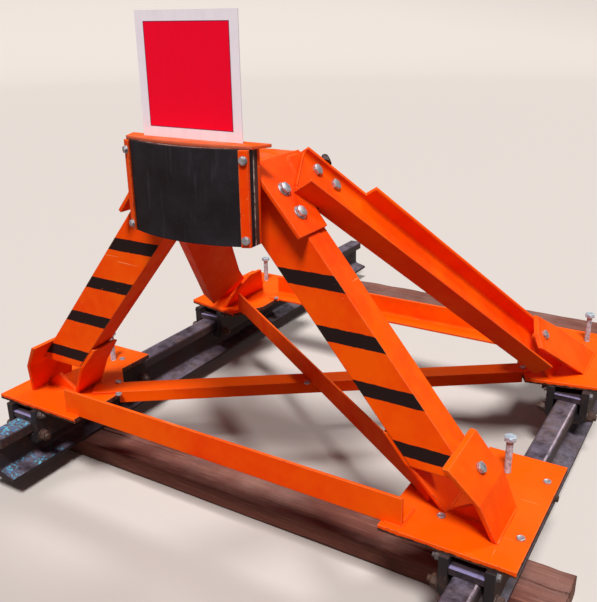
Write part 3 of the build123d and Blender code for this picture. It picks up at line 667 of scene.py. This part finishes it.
def joined(shells):
    """Several shells as one: each one's faces count on from the points before it."""
    faces, start = [], 0
    for points, own_faces in shells:
        faces.extend([corner + start for corner in face] for face in own_faces)
        start += len(points)
    return np.concatenate([points for points, _ in shells]), faces


def turned(heights, radii, flats=0.0, sides=48):
    """Turned or hexagonal shell. The radius at an angle is the ring's own radius, cut to the distance to a
    flat: half the width across flats over the cosine of the angle from the middle of that flat."""
    angle = np.linspace(0.0, 2 * math.pi, sides, endpoint=False)
    radius = np.repeat(np.array(radii, float)[:, None], sides, axis=1)
    if flats:
        off_flat = (angle + math.pi / 6) % (math.pi / 3) - math.pi / 6
        radius = np.minimum(radius, flats / 2 / np.cos(off_flat))
    height = np.repeat(np.array(heights, float)[:, None], sides, axis=1)
    return closed_rings(np.stack([radius * np.cos(angle), radius * np.sin(angle), height], axis=-1))


def washer(flats):
    """Thickness and shell of a washer, both as shares of its nut's width, with the upper rim turned in."""
    thick = flats * 0.11
    rim = flats * 0.66
    return thick, turned([-0.0005, thick * 0.85, thick], [rim, rim, rim - thick * 0.15])


def bolt_head(flats, on_washer=True, dimple=False, share=0.36):
    """Hexagon head, a share of its width tall: rings rise up the flats and turn in along a thirty degree cone."""
    base, parts = 0.0, []
    if on_washer:
        base, ring = washer(flats)
        parts.append(ring)
    top = base + flats * share
    corner = flats / 2 / HEXAGON
    cone = flats * 0.07
    heights = [base, top - cone * 1.1, top - cone * 0.5, top]
    radii = [corner, corner, corner - cone * 0.7, flats * 0.43]
    if dimple:
        heights += [top - 0.0012, top - 0.0016]
        radii += [flats * 0.32, flats * 0.05]
    parts.append(turned(heights, radii, flats))
    return joined(parts)


def nut_and_end(flats, sticks_out):
    """Hexagon nut on a washer with a threaded end: the thread's radius rises and falls once a pitch."""
    base, ring = washer(flats)
    corner = flats / 2 / HEXAGON
    cone = flats * 0.08
    tall = flats * 0.55
    heights = [base, base + cone * 0.6, base + tall - cone * 0.6, base + tall]
    nut = turned(heights, [flats * 0.47, corner, corner, flats * 0.44], flats)
    rod = flats * 0.32
    pitch = max(0.0018, flats * 0.08)
    height = np.linspace(base + tall * 0.8, base + tall + sticks_out, max(9, int(sticks_out / pitch * 4) + 1))
    radius = rod + 0.25 * pitch * np.cos(2 * math.pi * height / pitch)
    radius[-1] = rod * 0.8
    return joined([ring, nut, turned(height, radius, sides=24)])


def screw(node):
    """Clamp screw: a hexagon head, a plain shank above the plate and below it a thread whose radius rises and
    falls once a pitch, as tall as its CAD node."""
    low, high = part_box(node)
    tall = high.z - low.z
    corner = SCREW_FLATS / 2 / HEXAGON
    head = turned(
        [tall - SCREW_HEAD, tall - SCREW_HEAD + 0.0006, tall - 0.0022, tall - 0.001, tall],
        [corner * 0.98, corner, corner, corner - 0.002, SCREW_FLATS * 0.40],
        SCREW_FLATS,
    )
    height = np.linspace(0.0, tall - SCREW_HEAD * 0.8, 190)
    plain = height > PLATE_TOP - low.z + 0.002
    radius = SCREW_SHANK + np.where(plain, 0.0, SCREW_THREAD * np.cos(2 * math.pi * height / SCREW_PITCH))
    radius[0] = 0.008
    foot = Vector(((low.x + high.x) / 2, (low.y + high.y) / 2, low.z))
    return stood(joined([head, turned(height, radius, sides=28)]), foot, UP, 0.25)


def stood(shell, origin, axis, spin=0.0):
    """A shell made along Z, turned so that Z is the axis and set at the origin given."""
    points, faces = shell
    turn = Vector(axis).to_track_quat("Z", "Y").to_matrix() @ Matrix.Rotation(spin, 3, "Z")
    return points @ np.array(turn).T + np.array(origin), faces


def both_sides(placed):
    """Shells stood at their origins on the right and, mirrored, on the left."""
    shells, mirror = [], Vector((-1.0, 1.0, 1.0))
    for shell, origin, axis, spin in placed:
        shells += [stood(shell, origin, axis, spin), stood(shell, origin * mirror, axis * mirror, -spin)]
    return shells


def waves(points, scale, seed, count=14):
    """Smooth random field: the mean of sine waves in random directions, at that scale."""
    random = np.random.default_rng(seed)
    direction = random.normal(size=(3, count))
    direction /= np.linalg.norm(direction, axis=0)
    length = random.uniform(0.6, 1.6, count) * scale
    phase = random.uniform(0, 2 * math.pi, count)
    return np.sin(points @ (direction * length) + phase).mean(axis=-1) * 1.8


def bead(start, end, radius, seed=0):
    """Weld bead: a tube along a line whose radius swells with each crescent of the run. The crescent lags at
    the sides by the cosine of the angle round, and the ends draw in along a quarter circle."""
    start, end = np.array(start, float), np.array(end, float)
    length = np.linalg.norm(end - start)
    run = (end - start) / length
    along = np.linspace(0.0, length, max(8, int(length / 0.0026)))[:, None]
    angle = np.linspace(0.0, 2 * math.pi, 8, endpoint=False)[None, :]
    across = np.cross(run, (0.0, 0.0, 1.0) if abs(run[2]) < 0.9 else (1.0, 0.0, 0.0))
    across /= np.linalg.norm(across)
    upright = np.cross(across, run)
    lag = along + 0.0015 * np.cos(angle)
    swell = 1.0 + 0.10 * np.sin(2 * math.pi * lag / 0.0075 + seed) + 0.10 * np.sin(along * 61.0 + seed * 1.7)
    ends = np.sqrt(np.clip(np.minimum(along, length - along) / (radius * 1.2), 0.02, 1.0))
    wide = radius * swell * ends
    sideways = (wide * np.cos(angle))[..., None] * across + (wide * np.sin(angle))[..., None] * upright
    return closed_rings(start + along[..., None] * run + sideways)


def triples(items, attribute, kind):
    """Three values of each item of a mesh, one row for each."""
    values = np.zeros(len(items) * 3, kind)
    items.foreach_get(attribute, values)
    return values.reshape(-1, 3)


def flat_edges(node, normal, offset, shortest=0.03):
    """Outline of a CAD node's faces that lie on a plane: edges used by one such triangle only."""
    mesh = nodes[node].data
    points = triples(mesh.vertices, "co", np.float32).astype(float)
    corners = triples(mesh.polygons, "vertices", np.int32)
    _, same = np.unique(np.round(points, 5), axis=0, return_inverse=True)
    near = np.abs(points @ np.array(normal) - offset) < 0.0006
    flat = corners[near[corners].all(axis=1)]
    edges = np.concatenate([flat[:, [0, 1]], flat[:, [1, 2]], flat[:, [2, 0]]])
    if not len(edges):
        return []
    keys = np.sort(same.reshape(-1)[edges], axis=1)
    _, first, count = np.unique(keys, axis=0, return_index=True, return_counts=True)
    outer = edges[first[count == 1]]
    pairs = np.stack([points[outer[:, 0]], points[outer[:, 1]]], axis=1)
    return pairs[np.linalg.norm(pairs[:, 1] - pairs[:, 0], axis=1) > shortest]


def compass(degrees):
    """Way or ways at an angle: its cosine and its sine."""
    return np.stack([np.cos(np.radians(degrees)), np.sin(np.radians(degrees))], axis=-1)


def rounded_section(width, height, radius, counts):
    """Rounded rectangle as points and outward ways. Each quarter turn is a straight run, half a side out and
    from end to end along it, and an arc about its corner. Counts are of points on the top, each side, the
    bottom and each corner."""
    top, side, bottom, corner = counts
    half = np.array([width / 2 - radius, height / 2 - radius])
    points, outwards = [], []
    for start, straight in ((90.0, top), (0.0, side), (-90.0, bottom), (-180.0, side)):
        outward, towards = compass(start), compass(start - 90.0)
        step = np.linspace(-1.0, 1.0, straight, endpoint=False)[:, None]
        arc = compass(np.linspace(start, start - 90.0, corner, endpoint=False))
        points += [half * (outward + towards * step) + outward * radius, half * (outward + towards) + arc * radius]
        outwards += [np.repeat(outward[None, :], straight, axis=0), arc]
    return np.concatenate(points), np.concatenate(outwards)


def split_depth(points, low, high, random):
    """Depth of one split as a share of the deepest: full on a line that wanders along the sleeper by sine waves,
    nought at its half width, and fading over the last 12 cm at both ends. Also returns a depth for it."""
    x, y = points[..., 0], points[..., 1]
    centre = random.uniform(-0.45, 0.45) * (high.y - low.y) + (low.y + high.y) / 2
    begin = random.choice([low.x, random.uniform(low.x, high.x)])
    reach = random.uniform(0.25, 0.9)
    begin, finish = (begin, begin + reach) if random.random() < 0.6 else (begin - reach, begin)
    wander = centre + 0.010 * np.sin(x * random.uniform(2.0, 5.0) + random.uniform(0, 6)) + 0.002 * np.sin(x * 40.0)
    half = random.uniform(0.0018, 0.0040)
    fade = np.clip((x - begin) / 0.12, 0, 1) * np.clip((finish - x) / 0.12, 0, 1)
    return np.clip(1.0 - np.abs(y - wander) / half, 0, 1) * fade, random.uniform(0.4, 1.0)


def dent_depth(points, low, high, random):
    """Depth of one dent on an upper edge: it falls with the square of the distance, counted less along the grain."""
    at = np.array([random.uniform(low.x, high.x), random.choice([low.y, high.y]), high.z])
    size = random.uniform(0.012, 0.04)
    away = np.linalg.norm((points - at) * np.array([0.35, 1.0, 1.0]), axis=-1)
    return random.uniform(0.002, 0.006) * np.clip(1.0 - away / size, 0, 1) ** 2


def sleeper_mesh(name, node, seed, crack_depth, material):
    """Sawn sleeper: a rounded section carried along X. Each point moves in along its outward direction by
    smooth waves, by ridges that run along the grain, by narrow splits and by dents on the upper edges. At the
    ends the section shrinks ring by ring to the middle, and the points move in along X."""
    low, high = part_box(node)
    middle_y, middle_z = (low.y + high.y) / 2, (low.z + high.z) / 2
    section, outward = rounded_section(high.y - low.y, high.z - low.z, SLEEPER_EDGE, SLEEPER_SECTION)
    place = low.x + (high.x - low.x) * np.linspace(0.0, 1.0, SLEEPER_RINGS)
    caps = len(SLEEPER_CAP)
    along = np.concatenate([np.full(caps, low.x), place, np.full(caps, high.x)])
    scale = np.concatenate([SLEEPER_CAP, np.ones_like(place), SLEEPER_CAP[::-1]])
    is_cap = np.concatenate([np.ones(caps), np.zeros_like(place), np.ones(caps)])
    x = np.repeat(along[:, None], len(section), axis=1)
    y = middle_y + section[None, :, 0] * scale[:, None]
    z = middle_z + section[None, :, 1] * scale[:, None]
    points = np.stack([x, y, z], axis=-1)
    grain = points * np.array([0.12, 1.0, 1.0])
    sunk = 0.0012 * (1.0 + waves(points, 9.0, seed)) + 0.0007 * (1.0 + waves(grain, 260.0, seed + 1, 24))
    sunk = sunk + 0.0005 * np.abs(waves(grain, 620.0, seed + 2, 24))
    top = (outward[None, :, 1] > 0.7) | ((is_cap[:, None] > 0) & (z > middle_z))
    random = np.random.default_rng(seed)
    for _ in range(SPLITS):
        trench, depth = split_depth(points, low, high, random)
        sunk = sunk + trench * crack_depth * depth * top
    for _ in range(DENTS):
        sunk = sunk + dent_depth(points, low, high, random)
    sideways = outward[None, :, :] * (1.0 - is_cap)[:, None, None]
    points[..., 1] -= sunk * sideways[..., 0]
    points[..., 2] -= sunk * sideways[..., 1]
    points[..., 0] -= (np.sign(along - (low.x + high.x) / 2) * is_cap)[:, None] * sunk
    underside = (outward[None, :, 1] < -0.7) & (is_cap[:, None] < 0.5)
    points[..., 2] = np.where(underside, low.z, np.maximum(points[..., 2], low.z))
    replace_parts(put_mesh(name, closed_rings(points), material, "track"), node)


# Operators


class BUFFERSTOP_OT_paint_frame(bpy.types.Operator):
    """Paint the welded frame orange, with black bands on the front legs and bare cut edges on the plates"""

    bl_idname = "bufferstop.paint_frame"
    bl_label = "Paint frame"

    def execute(self, context):
        paint = context.scene.buffer_stop.paint
        plain = finish("Orange paint", orange_coat, paint)
        banded = finish("Orange paint with bands", orange_coat, paint, bands=BAND_HEIGHTS)
        plates = finish("Orange plate", orange_coat, paint, cut_edges=True)
        # Head top plate and box: dust with painted sheen on their tops, and painted sheen on their fronts.
        dusty = finish("Dusty orange paint with painted sheen", orange_coat, paint, dusty=True)
        beams = ("rear_leg", "foot_bracket", "cross_beam", "brace")
        dress(
            ("base_plate", plates),
            (("front_leg_stiffener", *beams), plain),
            (("head_cheek", "face_plate", "clamping_strips", "sign_bracket"), plain),
            ("front_leg", banded),
            (("head_top_plate", "head_box"), dusty),
        )
        return {"FINISHED"}


class BUFFERSTOP_OT_finish_track(bpy.types.Operator):
    """Give the rails, clamps and friction bars their steel finishes"""

    bl_idname = "bufferstop.finish_track"
    bl_label = "Finish track steel"

    def execute(self, context):
        track = context.scene.buffer_stop.track
        rail = finish("Rail steel", rusted_steel, track.rail, track.rust, 0.42, 9.0, marks=rail_marks)
        clamp = finish("Clamp steel", rusted_steel, linear(34, 28, 31), track.rust, 0.3, 20.0, 0.55)
        # The bars' pale lavender is a painted highlight for their tops; the second colour is their rust.
        painted_top_highlight, brown = linear(146, 138, 186), linear(86, 72, 92)
        bar = finish("Friction bar steel", rusted_steel, painted_top_highlight, brown, 0.4, 30.0, 0.45, marks=bar_ends)
        dress(("rail_clamp", clamp), ("rail_", rail), ("friction_bar", bar))
        return {"FINISHED"}


class BUFFERSTOP_OT_finish_head(bpy.types.Operator):
    """Give the head's rubber and steel layers and the sign board their finishes"""

    bl_idname = "bufferstop.finish_head"
    bl_label = "Finish head and sign"

    def execute(self, context):
        head = context.scene.buffer_stop.head
        dress(
            ("rubber_pad", finish("Black rubber", dull_rubber, head.rubber, linear(54, 52, 60))),
            ("rubber_backing", finish("Brown rubber", dull_rubber, head.backing, linear(104, 74, 66))),
            ("steel_liner", finish("Liner steel", plated_steel, linear(226, 214, 206), 0.45, 0.3, 0.9, 0.46)),
            ("sign_board", finish("Sign board paint", sign_paint, head)),
        )
        return {"FINISHED"}


class BUFFERSTOP_OT_sleepers(bpy.types.Operator):
    """Model both sleepers with worn edges, raised grain and splits"""

    bl_idname = "bufferstop.sleepers"
    bl_label = "Sleepers"

    def execute(self, context):
        track = context.scene.buffer_stop.track
        timber = finish("Sleeper timber", sleeper_timber, track)
        sleeper_mesh("sleeper_front_timber", "sleeper_front", 11, track.crack_depth, timber)
        sleeper_mesh("sleeper_rear_timber", "sleeper_rear", 23, track.crack_depth, timber)
        return {"FINISHED"}


def on_front_leg(y, z, stand):
    """Point on the front leg's outer face at that y and height, and so far off it."""
    x = LEG_FOOT.x - (z - LEG_FOOT.z) * math.tan(LEG_LEAN)
    return Vector((x, y, z)) + LEG_OUTWARD * stand


def on_rear_leg(along, up, outward):
    return REAR_FOOT + REAR_ALONG * along + REAR_UP * up + REAR_OUTWARD * outward


class BUFFERSTOP_OT_leg_bolts(bpy.types.Operator):
    """Add the large bolts of the legs, head tongues and foot brackets"""

    bl_idname = "bufferstop.leg_bolts"
    bl_label = "Leg bolts"

    def execute(self, context):
        sizes = context.scene.buffer_stop.fasteners
        zinc = finish("Zinc plate", plated_steel, sizes.zinc)
        dark = finish("Dark nut steel", rusted_steel, linear(52, 34, 38), linear(84, 50, 44), 0.4, 40.0)
        heads = {on_washer: bolt_head(sizes.large, on_washer) for on_washer in (True, False)}
        nut = nut_and_end(sizes.large, 0.012)
        placed = []
        for on_washer, y, z, stand, spin in FRONT_LEG_BOLTS:
            placed.append((heads[on_washer], on_front_leg(y, z, stand), LEG_OUTWARD, spin))
        for along, up, outward, spin in REAR_LEG_BOLTS:
            placed.append((heads[False], on_rear_leg(along, up, outward), REAR_OUTWARD, spin))
        for along, up, _, spin in REAR_LEG_BOLTS[:2]:
            placed.append((nut, on_rear_leg(along, up, REAR_NUT_FACE), -REAR_OUTWARD, spin))
        put_fasteners("leg_bolts", both_sides(placed), zinc)
        flange_nuts = both_sides([(nut, on_rear_leg(*FLANGE_NUT), REAR_UP, 0.7)])
        put_fasteners("flange_nuts", flange_nuts, dark)
        return {"FINISHED"}


class BUFFERSTOP_OT_plate_bolts(bpy.types.Operator):
    """Add the bolts that hold the clamps to the base plates, and those of the braces"""

    bl_idname = "bufferstop.plate_bolts"
    bl_label = "Plate bolts"

    def execute(self, context):
        sizes = context.scene.buffer_stop.fasteners
        head = bolt_head(sizes.medium, on_washer=False, dimple=True, share=0.26)
        shells = []
        for number, (x, y, above) in enumerate(PLATE_BOLTS):
            shells.append(stood(head, Vector((x, y, PLATE_TOP + above)), UP, 0.37 * number))
        put_fasteners("plate_bolts", shells, finish("Zinc plate", plated_steel, sizes.zinc))
        return {"FINISHED"}


class BUFFERSTOP_OT_head_bolts(bpy.types.Operator):
    """Add the small bolts of the clamping strips"""

    bl_idname = "bufferstop.head_bolts"
    bl_label = "Head bolts"

    def execute(self, context):
        sizes = context.scene.buffer_stop.fasteners
        head = bolt_head(sizes.small)
        turn = math.asin(STRIP_BOLT_X / STRIP_FACE)
        axis = Vector((math.sin(turn), -math.cos(turn), 0.0))
        placed = []
        for number, z in enumerate(STRIP_BOLT_HEIGHTS):
            placed.append((head, Vector((0.0, HEAD_CENTRE_Y, z)) + axis * STRIP_FACE, axis, 0.3 + number))
        put_fasteners("strip_bolts", both_sides(placed), finish("Zinc plate", plated_steel, sizes.zinc))
        return {"FINISHED"}


class BUFFERSTOP_OT_clamp_bolts(bpy.types.Operator):
    """Add the tie bolts across each rail clamp and the lower clamp bolts"""

    bl_idname = "bufferstop.clamp_bolts"
    bl_label = "Clamp bolts"

    def execute(self, context):
        sizes = context.scene.buffer_stop.fasteners
        dull = finish("Dulled zinc", plated_steel, linear(104, 98, 100), 0.5, 0.5, 0.7, 0.5)
        brown = finish("Oiled bolt steel", rusted_steel, linear(70, 50, 44), linear(110, 70, 50), 0.5, 40.0)
        tie_nut = nut_and_end(sizes.medium, 0.008)
        tie_head = bolt_head(sizes.medium)
        lower_nut = nut_and_end(sizes.large * 1.1, 0.010)
        ties, lowers = [], []
        for side, side_name in ((1, "right"), (-1, "left")):
            for end in ("front", "rear"):
                low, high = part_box("rail_clamp_" + end + "_" + side_name)
                for y in (low.y + TIE_BOLT_INSET, high.y - TIE_BOLT_INSET):
                    for face, way in ((high.x, 1.0), (low.x, -1.0)):
                        axis = Vector((way, 0, 0))
                        tie = tie_head if way == side else tie_nut
                        ties.append(stood(tie, Vector((face, y, TIE_BOLT_HEIGHT)), axis, 0.3 + y))
                        lowers.append(stood(lower_nut, Vector((face, y, LOWER_BOLT_HEIGHT)), axis, 0.6 - y))
        put_fasteners("clamp_tie_bolts", ties, dull)
        put_fasteners("clamp_lower_bolts", lowers, brown)
        return {"FINISHED"}


class BUFFERSTOP_OT_clamp_screws(bpy.types.Operator):
    """Replace the four clamp screws with threaded ones"""

    bl_idname = "bufferstop.clamp_screws"
    bl_label = "Clamp screws"

    def execute(self, context):
        bright = finish("Bright screw steel", plated_steel, linear(192, 210, 226), 0.34, 0.2, 0.08)
        for corner in ("front_left", "front_right", "rear_left", "rear_right"):
            node = "clamp_screw_" + corner
            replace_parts(put_fasteners("screw_" + corner, [screw(node)], bright), node)
        return {"FINISHED"}


class BUFFERSTOP_OT_welds(bpy.types.Operator):
    """Run weld beads where brackets, beams and cheeks meet the plates and legs"""

    bl_idname = "bufferstop.welds"
    bl_label = "Welds"

    def execute(self, context):
        paint = finish("Orange paint", orange_coat, context.scene.buffer_stop.paint)
        foot, head = [], []
        for node in (name for name in nodes if name.startswith(("foot_bracket", "cross_beam"))):
            for start, end in flat_edges(node, UP, PLATE_TOP):
                if node.startswith("foot_bracket") or abs(start[0] + end[0]) / 2 >= BEAM_FREE_HALF:
                    foot.append(bead(start, end, BRACKET_BEAD, len(foot)))
                elif abs(end[0] - start[0]) > 0.3:
                    for sign in (-1, 1):
                        inner, outer = (np.array([sign * x, start[1], start[2]]) for x in BEAM_BEAD_ENDS)
                        foot.append(bead(inner, outer, BEAM_BEAD, len(foot)))
        runs = [CHEEK_BEAD]
        for start, end in flat_edges("rear_leg_right", REAR_OUTWARD, REAR_WEB, 0.02):
            way = (end - start) / np.linalg.norm(end - start)
            if abs(way @ np.array(REAR_ALONG)) < 0.9 and min(start[2], end[2]) > 0.9:
                runs.append((start, end, TONGUE_BEAD))
        for number, (start, end, radius) in enumerate(runs):
            for side in (1.0, -1.0):
                mirror = np.array([side, 1.0, 1.0])
                head.append(bead(start * mirror, end * mirror, radius, number))
        put_mesh("foot_welds", joined(foot), paint, "buffer_frame")
        put_mesh("head_welds", joined(head), paint, "buffer_frame")
        return {"FINISHED"}


def floor_mesh():
    """Floor as a surface of revolution seen from inside: flat out to one radius, then a quarter circle up to a
    wall, without the face that would close its top."""
    climb = np.linspace(0.0, math.pi / 2, 24)
    radius = np.concatenate([[3.0, 6.0, 10.0], FLOOR_FLAT + FLOOR_RISE * np.sin(climb)])
    height = np.concatenate([[0.0, 0.0, 0.0], FLOOR_RISE * (1.0 - np.cos(climb))])
    points, faces = turned(height, radius, sides=FLOOR_SIDES)
    mesh = bpy.data.meshes.new("floor")
    mesh.from_pydata(points.tolist(), [], [face[::-1] for face in faces[:-1]])
    mesh.shade_smooth()
    return mesh


def sun(name, place, strength, spread):
    """Broad soft sun, so many degrees wide, that shines from its place towards the part."""
    lamp = bpy.data.lights.new(name, "SUN")
    lamp.energy = strength
    lamp.angle = math.radians(spread)
    lamp.color = LIGHT_COLOUR
    made = bpy.data.objects.new(name, lamp)
    made.location = place
    made.rotation_euler = (LIGHTS_AIM - Vector(place)).to_track_quat("-Z", "Y").to_euler()
    return made


def aimed_camera():
    """Camera turned by its azimuth from +Y, its angle down and its roll: the columns of its matrix are its
    right, its up and the way back."""
    lens = bpy.data.cameras.new("camera")
    lens.sensor_width = 36.0
    lens.lens = CAMERA_LENS
    level = math.cos(CAMERA_DOWN)
    ahead = Vector((-math.sin(CAMERA_AZIMUTH) * level, math.cos(CAMERA_AZIMUTH) * level, -math.sin(CAMERA_DOWN)))
    right = ahead.cross(UP).normalized()
    up = right.cross(ahead)
    across = math.cos(CAMERA_ROLL) * right + math.sin(CAMERA_ROLL) * up
    upward = -math.sin(CAMERA_ROLL) * right + math.cos(CAMERA_ROLL) * up
    camera = bpy.data.objects.new("camera", lens)
    camera.matrix_world = Matrix((across, upward, -ahead)).transposed().to_4x4()
    camera.location = CAMERA_PLACE
    return camera


class BUFFERSTOP_OT_stage(bpy.types.Operator):
    """Lay the pale floor and set the lights and the camera"""

    bl_idname = "bufferstop.stage"
    bl_label = "Stage"

    def execute(self, context):
        scene = context.scene
        settings = scene.buffer_stop.stage
        floor = bpy.data.objects.new("floor", floor_mesh())
        floor.data.materials.append(finish("Pale floor", pale_floor, settings))
        camera = aimed_camera()
        key = sun("key", (2.0, -4.4, 7.8), settings.key, 14.0)
        fill = sun("fill", (3.2, 3.6, 7.4), settings.fill, 12.0)
        for made in (floor, key, fill, camera):
            scene.collection.objects.link(made)
        scene.camera = camera
        scene.view_settings.view_transform = "Standard"
        scene.world = bpy.data.worlds.new("studio")
        scene.world.use_nodes = True
        back = scene.world.node_tree.nodes["Background"]
        wire(back, {"Color": (0.92, 0.95, 1.0, 1.0), "Strength": 0.1})
        return {"FINISHED"}


OPERATORS = (
    BUFFERSTOP_OT_paint_frame,
    BUFFERSTOP_OT_finish_track,
    BUFFERSTOP_OT_finish_head,
    BUFFERSTOP_OT_sleepers,
    BUFFERSTOP_OT_leg_bolts,
    BUFFERSTOP_OT_plate_bolts,
    BUFFERSTOP_OT_head_bolts,
    BUFFERSTOP_OT_clamp_bolts,
    BUFFERSTOP_OT_clamp_screws,
    BUFFERSTOP_OT_welds,
    BUFFERSTOP_OT_stage,
)


class BUFFERSTOP_PT_panel(bpy.types.Panel):
    """Sizes and colours of the buffer stop, and the steps that dress it"""

    bl_label = "Buffer stop"
    bl_idname = "BUFFERSTOP_PT_panel"
    bl_space_type = "VIEW_3D"
    bl_region_type = "UI"
    bl_category = "Buffer stop"

    def draw(self, context):
        for group in ("paint", "track", "head", "fasteners", "stage"):
            settings = getattr(context.scene.buffer_stop, group)
            box = self.layout.box()
            box.label(text=group.capitalize())
            for key in settings.__annotations__:
                box.prop(settings, key)
        for operator in OPERATORS:
            self.layout.operator(operator.bl_idname)


CLASSES = (
    PaintSettings,
    TrackSettings,
    HeadSettings,
    FastenerSettings,
    StageSettings,
    StopSettings,
    *OPERATORS,
    BUFFERSTOP_PT_panel,
)


def register():
    for kind in CLASSES:
        bpy.utils.register_class(kind)
    bpy.types.Scene.buffer_stop = bpy.props.PointerProperty(type=StopSettings)


def unregister():
    del bpy.types.Scene.buffer_stop
    for kind in reversed(CLASSES):
        bpy.utils.unregister_class(kind)


def main():
    register()
    bpy.ops.bufferstop.paint_frame()
    bpy.ops.bufferstop.finish_track()
    bpy.ops.bufferstop.finish_head()
    bpy.ops.bufferstop.sleepers()
    bpy.ops.bufferstop.leg_bolts()
    bpy.ops.bufferstop.plate_bolts()
    bpy.ops.bufferstop.head_bolts()
    bpy.ops.bufferstop.clamp_bolts()
    bpy.ops.bufferstop.clamp_screws()
    bpy.ops.bufferstop.welds()
    bpy.ops.bufferstop.stage()


if __name__ == "__main__":
    main()
